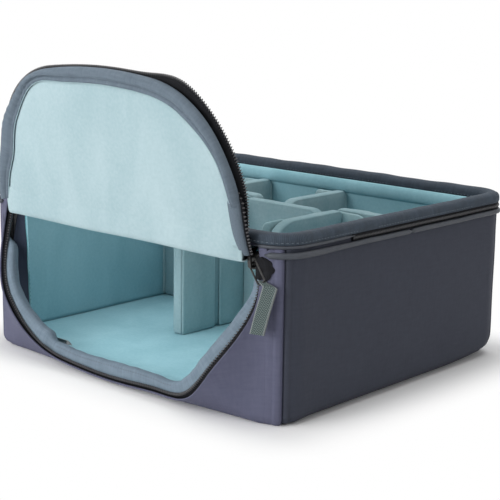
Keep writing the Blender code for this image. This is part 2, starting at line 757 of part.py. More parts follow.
def make_divider(name, frame, centre, start, end, first, last):
    """A padded board between two ends, each with a wing maker and the way it folds."""
    other = ALONG_Y if frame is ALONG_X else ALONG_X
    make_pad(name, frame, centre, start, end)
    for tag, side, place, (maker, fold) in (("a", -1, start, first), ("b", 1, end, last)):
        maker(name + "_wing_" + tag, frame, other, centre, place, side, fold)


def make_dividers():
    half = PAD / 2
    row_front, row_back = SIDE_ROW_Y - half, SIDE_ROW_Y + half
    across, own = make_end_wing, make_face_wing
    start, end = BAY_LEFT_X + half + WING_ROOM, BAY_RIGHT_X - half - WING_ROOM
    make_divider("bay_back", ALONG_X, BAY_BACK_Y, start, end, (across, -1), (across, -1))
    start, end = BAY_FRONT_Y, row_front - WING_ROOM
    make_divider("bay_right", ALONG_Y, BAY_RIGHT_X, start, end, (own, -1), (across, 1))
    make_divider("bay_left", ALONG_Y, BAY_LEFT_X, start, end, (own, 1), (across, -1))
    start, end = BAY_RIGHT_X - half, INNER_X - WING_ROOM
    make_divider("row_right", ALONG_X, SIDE_ROW_Y, start, end, (own, 1), (across, 1))
    start, end = -INNER_X + WING_ROOM, BAY_LEFT_X + half
    make_divider("row_left", ALONG_X, SIDE_ROW_Y, start, end, (across, 1), (own, 1))
    start, end = BAY_BACK_Y + half + WING_ROOM, INNER_Y - WING_ROOM
    make_divider("rear_right", ALONG_Y, REAR_RIGHT_X, start, end, (across, -1), (across, -1))
    start = row_back + WING_ROOM
    make_divider("rear_left", ALONG_Y, REAR_LEFT_X, start, end, (across, -1), (across, -1))


for leftover in list(bpy.data.objects):
    bpy.data.objects.remove(leftover)

make_outer_cloth()
make_foam()
make_lining()
make_rim()
make_lid_zip()
make_piping()
make_mouth()
make_hinge_roll()
make_zip_half("mouth_zip_half", 1, MOUTH_ZIP_START, MOUTH_TAPE_EDGE)
make_door()
make_slider()
make_pull()
make_ribbon()
make_dividers()
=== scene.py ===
"""A padded bag insert with an arched zip door, dressed in cloth, foam, binding and zips."""

import math

import bmesh
import bpy
import numpy as np
from mathutils import Matrix


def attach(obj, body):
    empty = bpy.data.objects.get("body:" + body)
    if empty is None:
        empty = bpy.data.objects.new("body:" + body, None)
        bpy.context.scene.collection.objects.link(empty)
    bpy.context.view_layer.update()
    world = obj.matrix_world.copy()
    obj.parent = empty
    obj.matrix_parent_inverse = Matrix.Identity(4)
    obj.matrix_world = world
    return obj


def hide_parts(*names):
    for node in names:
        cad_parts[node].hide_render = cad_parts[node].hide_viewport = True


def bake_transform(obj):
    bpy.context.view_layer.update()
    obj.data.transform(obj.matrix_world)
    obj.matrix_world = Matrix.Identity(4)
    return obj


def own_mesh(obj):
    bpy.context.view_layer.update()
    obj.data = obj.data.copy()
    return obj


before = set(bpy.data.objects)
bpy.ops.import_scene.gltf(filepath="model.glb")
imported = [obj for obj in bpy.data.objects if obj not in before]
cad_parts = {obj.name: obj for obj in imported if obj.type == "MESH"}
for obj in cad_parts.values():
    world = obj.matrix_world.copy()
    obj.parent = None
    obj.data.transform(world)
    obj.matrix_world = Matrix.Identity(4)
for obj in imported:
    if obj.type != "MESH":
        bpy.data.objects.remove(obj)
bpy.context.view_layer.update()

scene = bpy.context.scene

# Camera, lamps and floor: a long lens from the front right, large soft lamps high on the
# left, low in front and over the open top, a weak one on the right, and a pale floor that
# keeps the object's shadow and turns to plain white away from it.
camera = bpy.data.objects.new("camera", bpy.data.cameras.new("camera"))
scene.collection.objects.link(camera)
camera.matrix_world = Matrix((
    (0.73677, -0.15077, 0.65912, 0.67478),
    (0.67600, 0.14414, -0.72266, -0.73607),
    (0.01395, 0.97800, 0.20812, 0.28890),
    (0, 0, 0, 1),
))
camera.data.lens = 95.27
camera.data.sensor_width = 36
scene.camera = camera
scene.view_settings.view_transform = "Standard"


def wire(tree, kind, inputs=None, **settings):
    """Adds a shader node; each input is a plain value or the socket that feeds it."""
    made = tree.nodes.new("ShaderNode" + kind)
    for key, value in settings.items():
        setattr(made, key, value)
    for key, value in (inputs or {}).items():
        if isinstance(value, bpy.types.NodeSocket):
            tree.links.new(value, made.inputs[key])
        else:
            made.inputs[key].default_value = value
    return made


def maths(tree, operation, *values):
    """Adds a node that works out one number from plain values or sockets."""
    return wire(tree, "Math", dict(enumerate(values)), operation=operation)


def soft_lamp(name, place, aim, size, power):
    """A square area lamp at a place, turned to face its aim."""
    data = bpy.data.lights.new(name, "AREA")
    data.size, data.energy = size, power
    lamp = bpy.data.objects.new(name, data)
    scene.collection.objects.link(lamp)
    back = np.subtract(place, aim)
    back = back / np.linalg.norm(back)
    side = np.cross((0, 0, 1), back)
    side = side / np.linalg.norm(side)
    rows = np.column_stack((side, np.cross(back, side), back, place))
    lamp.matrix_world = Matrix([*rows.tolist(), [0, 0, 0, 1]])


soft_lamp("key", (-0.75, -1.35, 1.15), (0, 0, 0.06), 1.1, 12)
soft_lamp("front", (-0.20, -1.60, 0.35), (0, 0, 0.06), 0.9, 16)
soft_lamp("top", (-0.05, 0.30, 1.55), (0, 0.05, 0.05), 1.3, 12)
soft_lamp("side", (1.50, 0.10, 0.75), (0.1, 0, 0.08), 1.0, 3)


def backdrop_share(tree):
    """1 for what the camera, a mirror or clear glass sees, 0 for the light on the object."""
    path = wire(tree, "LightPath")
    seen = path.outputs["Is Camera Ray"]
    for ray in ("Is Glossy Ray", "Is Transmission Ray"):
        seen = maths(tree, "MAXIMUM", seen, path.outputs[ray]).outputs[0]
    return seen


world = bpy.data.worlds.new("studio")
scene.world = world
world.use_nodes = True
sky = world.node_tree
sky.nodes.clear()
ambient = wire(sky, "Background", {"Color": (1, 1, 1, 1), "Strength": 0.30})
plain = wire(sky, "Background", {"Color": (1, 1, 1, 1), "Strength": 1.0})
choice = wire(sky, "MixShader",
              {0: backdrop_share(sky), 1: ambient.outputs[0], 2: plain.outputs[0]})
wire(sky, "OutputWorld", {0: choice.outputs[0]})

FLOOR_HALF = 4.0
SHADOW_REACH = 0.055
floor_mesh = bpy.data.meshes.new("floor")
floor_corners = [(x * FLOOR_HALF, y * FLOOR_HALF, 0) for x, y in ((-1, -1), (1, -1), (1, 1), (-1, 1))]
floor_mesh.from_pydata(floor_corners, [], [(0, 1, 2, 3)])
floor = bpy.data.objects.new("floor", floor_mesh)
scene.collection.objects.link(floor)


def new_paint(name, values):
    """A material with plain values on its shader; returns it, its node tree and shader."""
    made = bpy.data.materials.new(name)
    made.use_nodes = True
    shader = made.node_tree.nodes["Principled BSDF"]
    for socket, value in values.items():
        shader.inputs[socket].default_value = value
    return made, made.node_tree, shader


floor_paint, tree, shader = new_paint("floor", {"Base Color": (0.92, 0.92, 0.92, 1), "Roughness": 0.9})
white = wire(tree, "Emission", {"Color": (1, 1, 1, 1), "Strength": 1.0})
place = wire(tree, "TexCoord")
far = wire(tree, "VectorMath", {0: place.outputs["Object"]}, operation="ABSOLUTE")
far = wire(tree, "VectorMath", {0: far.outputs[0], 1: (0.150, 0.128, 0)}, operation="SUBTRACT")
far = wire(tree, "VectorMath", {0: far.outputs[0], 1: (0, 0, 0)}, operation="MAXIMUM")
far = wire(tree, "VectorMath", {0: far.outputs[0]}, operation="LENGTH")
fade = wire(tree, "MapRange", {"Value": far.outputs["Value"], "From Max": SHADOW_REACH},
            interpolation_type="SMOOTHSTEP")
fade = maths(tree, "MULTIPLY", fade.outputs[0], backdrop_share(tree))
both = wire(tree, "MixShader", {0: fade.outputs[0], 1: shader.outputs[0], 2: white.outputs[0]})
tree.links.new(both.outputs[0], tree.nodes["Material Output"].inputs[0])
floor_mesh.materials.append(floor_paint)

# Outer cloth: three panels of one smooth, closely woven blue-grey cloth. The door wall and
# the far wall are a panel each, and one long wrap makes both sides and the base. They are
# sewn edge to edge on the corners, with the allowance turned and stitched as a flat fold.
HALF_X, HALF_Y, CORNER = 0.150, 0.128, 0.021
FRONT = -HALF_Y
WALL_TOP = 0.1241
CORNER_LENGTH = CORNER * math.pi / 2
FRONT_SEAM = HALF_X - CORNER + CORNER_LENGTH / 2
REAR_SEAM = FRONT_SEAM + CORNER_LENGTH + 2 * (HALF_Y - CORNER)
PLAN_LENGTH = 4 * (HALF_X + HALF_Y - 2 * CORNER + CORNER_LENGTH)

HINGE_Y, HINGE_Z = -0.12945, 0.117
ARCH_DROP, ARCH_RADIUS, CORNER_X = 0.106, 0.086, 0.0396
CROWN_SLOPE = math.radians(8)
TURN_END = math.pi / 2 - CROWN_SLOPE
CROWN_RADIUS = (CORNER_X + ARCH_RADIUS * math.cos(TURN_END)) / math.sin(CROWN_SLOPE)
CROWN_SAG = CROWN_RADIUS * (1 - math.cos(CROWN_SLOPE))
CORNER_DROP = ARCH_DROP - CROWN_SAG - ARCH_RADIUS * math.sin(TURN_END)
TURN_START = -math.asin(CORNER_DROP / ARCH_RADIUS)
CORNER_RUN = ARCH_RADIUS * (TURN_END - TURN_START)
ARCH_RUN = 2 * (CORNER_RUN + CROWN_RADIUS * CROWN_SLOPE)
PANEL_EDGE = 0.0044


def grid_of(*parts):
    """The parts, spread to one shape, side by side in a new last axis."""
    return np.stack(np.broadcast_arrays(*parts), axis=-1)


def ease(share):
    """0 below 0, 1 above 1, and 3t^2 - 2t^3 between."""
    share = np.clip(share, 0, 1)
    return share * share * (3 - 2 * share)


def hump(place, centre, width):
    """A smooth bump, exp(-((place - centre) / width)^2)."""
    return np.exp(-(((place - centre) / width) ** 2))


def plan(run, inset=0.0):
    """The box's rounded plan at a run from the middle of the door wall toward +X: four
    straights and four quarter circles. The inset moves in along the outward direction.
    Returns x, y and the outward direction."""
    run = np.mod(run, PLAN_LENGTH)
    straight_x, straight_y = HALF_X - CORNER, 2 * (HALF_Y - CORNER)
    lengths = np.array([straight_x, straight_y, 2 * straight_x, straight_y])
    starts = np.cumsum(lengths) + CORNER_LENGTH * np.arange(4)
    turn = sum(np.clip((run - start) / CORNER, 0, math.pi / 2) for start in starts) - math.pi / 2
    x = np.clip(run, 0, straight_x) - np.clip(run - starts[1] - CORNER_LENGTH, 0, 2 * straight_x)
    x = x + np.clip(run - starts[3] - CORNER_LENGTH, 0, straight_x)
    y = np.clip(run - starts[0] - CORNER_LENGTH, 0, straight_y) - straight_y / 2
    y = y - np.clip(run - starts[2] - CORNER_LENGTH, 0, straight_y)
    out_x, out_y = np.cos(turn), np.sin(turn)
    reach = CORNER - inset
    return x + reach * out_x, y + reach * out_y, out_x, out_y


def from_front(run):
    """The way along the plan from the middle of the door wall, the shorter way round."""
    return np.minimum(np.mod(run, PLAN_LENGTH), PLAN_LENGTH - np.mod(run, PLAN_LENGTH))


def foot_at(run):
    """Radius of the bottom edge: tight under the door wall, fuller at the sides and back."""
    far = from_front(run)
    return 0.0065 + 0.0040 * ease((far - FRONT_SEAM) / 0.035) + 0.0060 * hump(far, REAR_SEAM, 0.035)


def wall_skin(run, height, out=0.0):
    """A point of the outer cloth at a plan run and an unrolled height. Below the foot's
    radius the height goes on round a quarter circle to the flat base. out moves the point
    along the outward normal."""
    foot = foot_at(run)
    turn = np.clip((foot - height) / foot, 0, math.pi / 2)
    inset = foot * (1 - np.cos(turn))
    z = np.where(height < foot, foot * (1 - np.sin(turn)), height)
    x, y, out_x, out_y = plan(run, inset)
    level = np.cos(turn) * out
    skin = grid_of(x + level * out_x, y + level * out_y, z - np.sin(turn) * out)
    skin[..., 2] = np.maximum(skin[..., 2], 0.0003)
    return skin


def foot_line(run):
    """The unrolled height at which the foot's quarter circle ends."""
    return foot_at(run) * (1 - math.pi / 2)


def seam_relief(distance):
    """A seam's shape at a distance from it: the edges dive in, then a flat turned fold."""
    fold = 0.0009 * ease((distance - 0.0004) / 0.0014) * (1 - ease((distance - 0.0042) / 0.0014))
    return fold - 0.0018 * np.exp(-((distance / 0.0008) ** 2))


def slack(run, height):
    """Slow unevenness of stuffed cloth: a few long sine waves, fading at the rim."""
    waves = np.sin(run * 31 + 1.3) * np.sin(height * 47 + 0.6)
    waves = waves + 0.6 * np.sin(run * 74 + height * 52) + 0.35 * np.sin(run * 19 - height * 95 + 2)
    return 0.00033 * waves * ease((0.108 - height) / 0.02) * ease((height - 0.004) / 0.02)


def arch_line(run, offset=0.0):
    """The parting line of door and mouth, shut: a corner arc, a flat crown arc and the
    mirrored corner arc. Returns x and z at a run from the right, moved outward."""
    near = np.minimum(run, ARCH_RUN - run)
    turn = TURN_START + near / ARCH_RADIUS
    lean = CROWN_SLOPE - (near - CORNER_RUN) / CROWN_RADIUS
    corner, crown = ARCH_RADIUS + offset, CROWN_RADIUS + offset
    on_corner = near < CORNER_RUN
    x = np.where(on_corner, CORNER_X + corner * np.cos(turn), crown * np.sin(lean))
    low = HINGE_Z - ARCH_DROP + CROWN_RADIUS
    z = np.where(on_corner, HINGE_Z - CORNER_DROP - corner * np.sin(turn), low - crown * np.cos(lean))
    return np.where(run > ARCH_RUN / 2, -x, x), z


def arch_start(offset, drop=0.0):
    """The run at which the moved line is a drop under the hinge."""
    return ARCH_RADIUS * (-math.asin((CORNER_DROP - drop) / (ARCH_RADIUS + offset)) - TURN_START)


def lip_pull(run, offset=0.0):
    """How far the open mouth's edge flops outward and down: nothing where it is sewn to
    the hinge, most along the sill and in the two lower corners, where the edge also rolls
    over so that what lies beyond the coil is tucked back under it."""
    rise = ease((run - 0.028) / 0.055) * ease((ARCH_RUN - run - 0.002) / 0.070)
    tuck = ease((run - 0.070) / 0.050) * ease((ARCH_RUN - run - 0.075) / 0.060)
    out = 0.0165 * rise + 0.0060 * hump(run, 0.086, 0.032) - 0.95 * tuck * np.maximum(offset - 0.0015, 0)
    down = 0.0030 * rise + 0.0060 * hump(run, 0.112, 0.026) + 0.0015 * hump(run, 0.276, 0.035)
    return out, down


def lip_point(run, offset, depth, held=1.0):
    """A point of the mouth's edge: on the moved parting line, at a depth behind the door
    wall, carried outward and down by its share of the lip's pull."""
    x, z = arch_line(run, offset)
    out, down = lip_pull(run, offset)
    y = FRONT + depth - held * out
    return grid_of(x, y, np.maximum(z - held * down, 0.0007 + 0.05 * depth))


def put_in_scene(name, points, faces, flat, weld=False):
    """An object of a smooth mesh with its UV map in metres. Welding merges doubles and turns
    the faces outward."""
    mesh = bpy.data.meshes.new(name)
    mesh.from_pydata(points.reshape(-1, 3).tolist(), [], faces.tolist())
    mesh.uv_layers.new(name="cloth").data.foreach_set("uv", flat.astype(np.float32).ravel())
    if weld:
        shape = bmesh.new()
        shape.from_mesh(mesh)
        bmesh.ops.remove_doubles(shape, verts=shape.verts, dist=0.00002)
        bmesh.ops.recalc_face_normals(shape, faces=shape.faces)
        shape.to_mesh(mesh)
        shape.free()
    mesh.polygons.foreach_set("use_smooth", np.ones(len(mesh.polygons), bool))
    item = bpy.data.objects.new(name, mesh)
    scene.collection.objects.link(item)
    return item


def cloth_mesh(name, points, uv, round_rows=False, turned=False, weld=False):
    """A mesh through points[i, j]: each four neighbours make a face, and round_rows joins
    the last row to the first. The UV map is in metres along the cloth."""
    rows, columns = points.shape[:2]
    index = np.arange(rows * columns).reshape(rows, columns)
    if round_rows:
        index = np.vstack((index, index[:1]))
    corners = [(slice(None, -1), slice(None, -1)), (slice(1, None), slice(None, -1)),
               (slice(1, None), slice(1, None)), (slice(None, -1), slice(1, None))]
    if turned:
        corners = corners[::-1]
    faces = np.stack([index[c] for c in corners], axis=-1).reshape(-1, 4)
    flat = np.stack([uv[c] for c in corners], axis=-2).reshape(-1, 2)
    return put_in_scene(name, points, faces, flat, weld)


def thicken(item, depth):
    """Gives a sheet its thickness behind the face that shows."""
    layer = item.modifiers.new("thickness", "SOLIDIFY")
    layer.thickness = depth
    layer.offset = -1
    layer.use_quality_normals = True
    return item


def settle(item, body, slot, paint, *nodes, padded=False):
    """Gives a piece its material and its body, and hides the solids that it stands for. The slot is not
    used.
    """
    item.data.materials.append(paint)
    if body:
        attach(item, body)
    if nodes:
        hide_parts(*nodes)
    return item


def new_group(name, inputs, outputs):
    """An empty node group with number sockets; returns its tree, input and output nodes."""
    group = bpy.data.node_groups.new(name, "ShaderNodeTree")
    for label, start in inputs:
        group.interface.new_socket(label, in_out="INPUT",
                                   socket_type="NodeSocketFloat").default_value = start
    for label in outputs:
        group.interface.new_socket(label, in_out="OUTPUT", socket_type="NodeSocketFloat")
    return group, group.nodes.new("NodeGroupInput"), group.nodes.new("NodeGroupOutput")


def colour_and_relief(tree, shader, share, dark, light, height, strength, depth):
    """Mixes two colours by a share, and raises the surface by a height."""
    colour = wire(tree, "Mix", {0: share, 6: (*dark, 1), 7: (*light, 1)}, data_type="RGBA")
    tree.links.new(colour.outputs[2], shader.inputs["Base Color"])
    bump = wire(tree, "Bump", {"Height": height, "Strength": strength, "Distance": depth})
    tree.links.new(bump.outputs[0], shader.inputs["Normal"])


def make_weave():
    """Woven cloth: warp and weft as two crossed sine bands a pitch apart, and a mottle of
    lighter and darker yarns from noise that is stretched along each of them."""
    group, given, result = new_group("woven_cloth", [("Pitch", 0.0006), ("Mottle size", 0.002)],
                                     ["Threads", "Mottle"])
    cloth = wire(group, "UVMap", uv_map="cloth")
    count = maths(group, "DIVIDE", 0.31416, given.outputs["Pitch"])
    warp = wire(group, "TexWave", {"Vector": cloth.outputs[0], "Scale": count.outputs[0]},
                bands_direction="X")
    weft = wire(group, "TexWave", {"Vector": cloth.outputs[0], "Scale": count.outputs[0]},
                bands_direction="Y")
    over = maths(group, "MULTIPLY", warp.outputs["Fac"], weft.outputs["Fac"])
    group.links.new(over.outputs[0], result.inputs["Threads"])
    density = maths(group, "DIVIDE", 1.0, given.outputs["Mottle size"])
    yarns = []
    for stretch in ((1, 0.18, 1), (0.18, 1, 1)):
        laid = wire(group, "Mapping", {"Vector": cloth.outputs[0], "Scale": stretch})
        noise = wire(group, "TexNoise",
                     {"Vector": laid.outputs[0], "Scale": density.outputs[0], "Detail": 3.0})
        yarns.append(noise.outputs["Fac"])
    mixed = maths(group, "ADD", yarns[0], yarns[1])
    spread = wire(group, "MapRange",
                  {"Value": mixed.outputs[0], "From Min": 0.72, "From Max": 1.28})
    group.links.new(spread.outputs[0], result.inputs["Mottle"])
    return group


weave = make_weave()


def cloth_paint(name, dark, light, pitch, mottle, relief, roughness, sheen):
    """Woven cloth between two yarn colours, with thread relief and a soft sheen."""
    made, tree, shader = new_paint(name, {"Roughness": roughness, "Sheen Weight": sheen,
                                          "Sheen Roughness": 0.45, "Sheen Tint": (*light, 1)})
    threads = wire(tree, "Group", node_tree=weave)
    threads.inputs["Pitch"].default_value = pitch
    threads.inputs["Mottle size"].default_value = mottle
    place = wire(tree, "TexCoord")
    clouds = wire(tree, "TexNoise",
                  {"Vector": place.outputs["Object"], "Scale": 26.0, "Detail": 3.0})
    share = maths(tree, "MULTIPLY", threads.outputs["Mottle"], 0.55)
    share = maths(tree, "MULTIPLY_ADD", clouds.outputs["Fac"], 0.45, share.outputs[0])
    height = maths(tree, "MULTIPLY_ADD", threads.outputs["Mottle"], 0.6, threads.outputs["Threads"])
    colour_and_relief(tree, shader, share.outputs[0], dark, light, height.outputs[0], relief, 0.0002)
    return made


front_paint = cloth_paint("front_cloth", (0.066, 0.070, 0.118), (0.090, 0.094, 0.150), 0.0005, 0.0020, 0.35,
                          0.82, 0.20)
# The sides' copy of the door wall's cloth, darker: the shade on the sides is painted into its colours.
side_shaded_paint = cloth_paint("side_cloth", (0.022, 0.026, 0.041), (0.032, 0.037, 0.056), 0.0005, 0.0020, 0.35,
                         0.84, 0.10)


def graded(start, end, count):
    """Values from start to end, closer together at both ends."""
    share = np.linspace(0, 1, count)
    even = start + (end - start) * share
    drawn = start + (end - start) * (1 - np.cos(share * math.pi)) / 2
    return 0.35 * even + 0.65 * drawn


# Door wall's panel: it is cut with the arched mouth, and sewn to the wrap at both corners and
# along the foot. Its border round the mouth is loose and flops outward when the door is
# open, so it is a piece of its own, which lies flat when the door is shut.
FLAT_END = 0.1345
CLOTH = 0.0011


def mouth_rays(offset, foot_height):
    """Rays over the door wall from the moved arch straight out to the panel's seams. Gives
    their runs along the arch, both ends as (plan run, unrolled height), and the share of
    each that can flop: all of it over the foot, less up the sides, where the wall turns."""
    start = arch_start(offset)
    along = np.linspace(start, ARCH_RUN - start, 261)
    x, z = arch_line(along, offset)
    bent = np.clip((np.abs(x) - (HALF_X - CORNER)) / CORNER, 0, 1)
    run = np.where(np.abs(x) > HALF_X - CORNER, HALF_X - CORNER + CORNER * np.arcsin(bent),
                   np.abs(x)) * np.sign(x)
    side_length, sill_length = HINGE_Z - foot_height, 2 * FRONT_SEAM
    walk = (along - start) / (ARCH_RUN - 2 * start) * (2 * side_length + sill_length)
    outer_run = FRONT_SEAM - np.clip(walk - side_length, 0, sill_length)
    outer_height = HINGE_Z - np.clip(walk, 0, side_length)
    outer_height = outer_height + np.clip(walk - side_length - sill_length, 0, side_length)
    free = (FLAT_END - np.abs(run)) / np.maximum(np.abs(outer_run) - np.abs(run), 0.0001)
    free = np.where(np.abs(outer_run) > FLAT_END, np.minimum(free, 1), 1.0)
    return along, grid_of(run, z), grid_of(outer_run, outer_height), free


def on_rays(inner, outer, first, last, steps):
    """Grid along the rays between two shares of each, closer together at both ends."""
    share = first[:, None] + (last - first)[:, None] * graded(0, 1, steps)
    grid = inner[:, None] + (outer - inner)[:, None] * share[..., None]
    return grid[..., 0], grid[..., 1], share


def strip_over(runs, top, rows=6):
    """Grid of the strip of wall over the mouth, on the same plan runs as the rays' ends."""
    spread = np.concatenate((runs[-1, ::-1], np.linspace(runs[-1, 0], runs[0, 0], 60)[1:-1], runs[0]))
    return np.meshgrid(spread, np.linspace(HINGE_Z, top, rows), indexing="ij")


def front_relief(runs, heights):
    """Seam relief and slack of the door wall's panel."""
    side = np.abs(FRONT_SEAM - np.abs(runs))
    foot = np.abs(heights - foot_line(runs))
    seams = seam_relief(side) + seam_relief(foot) * ease((0.12 - np.abs(runs)) / 0.1)
    return seams + 0.5 * slack(runs, heights)


def join(name, *items):
    """Makes one piece of several and welds the rows that they share."""
    shape = bmesh.new()
    for item in items:
        shape.from_mesh(item.data)
    bmesh.ops.remove_doubles(shape, verts=shape.verts, dist=0.00004)
    mesh = bpy.data.meshes.new(name)
    shape.to_mesh(mesh)
    shape.free()
    for item in items:
        bpy.data.objects.remove(item)
    whole = bpy.data.objects.new(name, mesh)
    scene.collection.objects.link(whole)
    return whole


along, inner, outer, free = mouth_rays(PANEL_EDGE, foot_line(0))
low = ease((0.020 - inner[:, 1]) / 0.012)
runs, heights, share = on_rays(inner, outer, 0.9 * free * (1 - low) + 0.3 * low, np.ones(len(free)), 24)
under = 0.0014 * ease((free[:, None] - share) / 0.10)
below = wall_skin(runs, heights, front_relief(runs, heights) - under)
strip_runs, strip_heights = strip_over(runs, WALL_TOP)
raised = front_relief(strip_runs, strip_heights) * (strip_heights > HINGE_Z + 0.0001)
above = wall_skin(strip_runs, strip_heights, raised)
lower = cloth_mesh("lower", below, grid_of(runs, heights), turned=True)
upper = cloth_mesh("upper", above, grid_of(strip_runs, strip_heights))
front_cloth = thicken(join("front_cloth_panel", lower, upper), CLOTH)
settle(front_cloth, "box", "front_cloth", front_paint, "front_panel")

runs, heights, share = on_rays(inner, outer, np.zeros(len(free)), free, 30)
flop = (1 - share / free[:, None]) ** 1.6
mouth_border = wall_skin(runs, heights, front_relief(runs, heights))
out, down = lip_pull(along, PANEL_EDGE)
mouth_border[..., 1] -= out[:, None] * flop
mouth_border[..., 2] = np.maximum(mouth_border[..., 2] - down[:, None] * flop, 0.0012 * flop ** 0.3)
mouth_cloth = thicken(cloth_mesh("mouth_edge_cloth", mouth_border, grid_of(runs, heights), turned=True),
                      CLOTH)
settle(mouth_cloth, "box", "front_cloth", front_paint)
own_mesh(mouth_cloth)


# Sides and base: one wrap of a heavier cloth goes down one side, under the foam and up the other,
# and is turned in and seamed to both long walls' panels. Its colours are painted darker than the door
# wall's panel: painted shade on the sides. The far wall's panel is the door wall's cloth without a mouth.
def side_relief(runs, heights):
    """Seam relief at both corner seams of a side, and its slack with a slight belly."""
    belly = 0.0012 * np.sin(np.clip((runs - FRONT_SEAM) / (REAR_SEAM - FRONT_SEAM), 0, 1) * math.pi)
    belly = belly * np.sin(np.clip(heights / 0.11, 0, 1) * math.pi)
    ends = seam_relief(runs - FRONT_SEAM) + seam_relief(REAR_SEAM - runs)
    crease = 0.0004 * hump(heights, 0.0062, 0.0012) - 0.0008 * hump(heights, 0.0042, 0.0008)
    return ends + belly + crease + slack(runs, heights)


side_runs = graded(FRONT_SEAM, REAR_SEAM, 150)
side_heights = np.concatenate((np.linspace(WALL_TOP, 0.012, 44), np.linspace(0.011, 0, 12)[1:]))
run_grid = np.repeat(side_runs[:, None], len(side_heights), axis=1)
height_grid = np.broadcast_to(side_heights, run_grid.shape).copy()
lowest = foot_line(run_grid)
turned_in = height_grid < 0.0111
height_grid = np.where(turned_in, lowest + (height_grid / 0.0111) * (0.0111 - lowest), height_grid)
relief = side_relief(run_grid, height_grid) * ease((height_grid + 0.006) / 0.012)
right_side = wall_skin(run_grid, height_grid, relief)
left_side = right_side[:, ::-1] * np.array((-1, 1, 1))
sill = np.linspace(FRONT_SEAM, -FRONT_SEAM, 62)[1:-1]
front_edge = wall_skin(sill, foot_line(sill))
rear_runs = PLAN_LENGTH / 2 - sill
rear_edge = wall_skin(rear_runs, foot_line(rear_runs))
left = np.linspace(0, 1, 62)[1:-1][None, :, None]
back = ((side_runs - FRONT_SEAM) / (REAR_SEAM - FRONT_SEAM))[:, None, None]
right_edge, left_edge = right_side[:, -1][:, None], left_side[:, 0][:, None]
base = (1 - back) * front_edge + back * rear_edge + (1 - left) * right_edge + left * left_edge
base = base - (1 - back) * ((1 - left) * right_edge[:1] + left * left_edge[:1])
base = base - back * ((1 - left) * right_edge[-1:] + left * left_edge[-1:])
wrap_points = np.concatenate((right_side, base, left_side), axis=1)
stride = np.linalg.norm(np.diff(wrap_points, axis=1), axis=-1)
girth = np.concatenate((np.zeros((len(stride), 1)), np.cumsum(stride, axis=1)), axis=1)
wrap_uv = grid_of(side_runs[:, None], girth)
wrap = thicken(cloth_mesh("side_and_base_wrap", wrap_points, wrap_uv, turned=True), CLOTH)
settle(wrap, "box", "side_cloth", side_shaded_paint, "gusset_wrap")

rear_run = graded(REAR_SEAM, PLAN_LENGTH - REAR_SEAM, 130)[:, None]
rear_foot = foot_line(PLAN_LENGTH / 2)
rear_height = np.concatenate((np.linspace(rear_foot, 0.0105, 10),
                              np.linspace(0.0105, WALL_TOP, 40)[1:]))[None]
run_grid, height_grid = np.broadcast_arrays(rear_run, rear_height)
relief = seam_relief(run_grid - REAR_SEAM) + seam_relief(PLAN_LENGTH - REAR_SEAM - run_grid)
relief = (relief + slack(run_grid, height_grid)) * ease((height_grid + 0.006) / 0.012)
rear_cloth = cloth_mesh("rear_cloth_panel", wall_skin(run_grid, height_grid, relief),
                        grid_of(run_grid, height_grid))
settle(thicken(rear_cloth, CLOTH), "box", "front_cloth", front_paint, "rear_panel")

# Foam boards and their lining: 6 mm grey foam against each wall and the base, each under
# its own panel of brushed teal cloth. The lining stands a little proud under the rim, where
# it is drawn over the foam's top edge, and the panels meet in the box's inner corners.
FLOOR_TOP = 0.0090
LINING_TOP = 0.1197
LINING_INSET, LINING_THICK = 0.0091, 0.0010
FOAM_INSET, FOAM_THICK = 0.0073, 0.0055


def make_nap():
    """Brushed cloth: short fibres from fine noise, and broad lighter and darker strokes
    where the pile lies one way or the other, from large stretched noise."""
    group, given, result = new_group("brushed_nap", [("Stroke size", 0.03)], ["Fibres", "Strokes"])
    place = wire(group, "TexCoord")
    fibres = wire(group, "TexNoise",
                  {"Vector": place.outputs["Object"], "Scale": 1500.0, "Detail": 3.0, "Roughness": 0.7})
    group.links.new(fibres.outputs["Fac"], result.inputs["Fibres"])
    density = maths(group, "DIVIDE", 1.0, given.outputs["Stroke size"])
    laid = wire(group, "Mapping", {"Vector": place.outputs["Object"], "Scale": (1.0, 1.0, 0.45)})
    strokes = wire(group, "TexNoise",
                   {"Vector": laid.outputs[0], "Scale": density.outputs[0], "Detail": 2.0,
                    "Distortion": 0.4})
    fine = wire(group, "TexNoise",
                {"Vector": place.outputs["Object"], "Scale": 420.0, "Detail": 2.0})
    both = maths(group, "MULTIPLY_ADD", fine.outputs["Fac"], 0.5, strokes.outputs["Fac"])
    spread = wire(group, "MapRange",
                  {"Value": both.outputs[0], "From Min": 0.50, "From Max": 1.0})
    group.links.new(spread.outputs[0], result.inputs["Strokes"])
    return group


nap = make_nap()


def nap_paint(name, dark, light, stroke, relief, sheen):
    """Brushed cloth between two colours of its pile, with fibre relief and strong sheen."""
    made, tree, shader = new_paint(name, {"Roughness": 0.92, "Sheen Weight": sheen,
                                          "Sheen Roughness": 0.40, "Sheen Tint": (*light, 1)})
    pile = wire(tree, "Group", node_tree=nap)
    pile.inputs["Stroke size"].default_value = stroke
    colour_and_relief(tree, shader, pile.outputs["Strokes"], dark, light, pile.outputs["Fibres"], relief,
                      0.0003)
    return made


lining_paint = nap_paint("teal_lining", (0.245, 0.475, 0.545), (0.320, 0.565, 0.635), 0.030, 0.35, 0.30)


foam_paint, tree, shader = new_paint("foam", {"Roughness": 0.95})
place = wire(tree, "TexCoord")
cells = wire(tree, "TexVoronoi",
             {"Vector": place.outputs["Object"], "Scale": 1400.0}).outputs["Distance"]
colour_and_relief(tree, shader, cells, (0.46, 0.47, 0.48), (0.20, 0.21, 0.22), cells, 0.5, 0.0004)


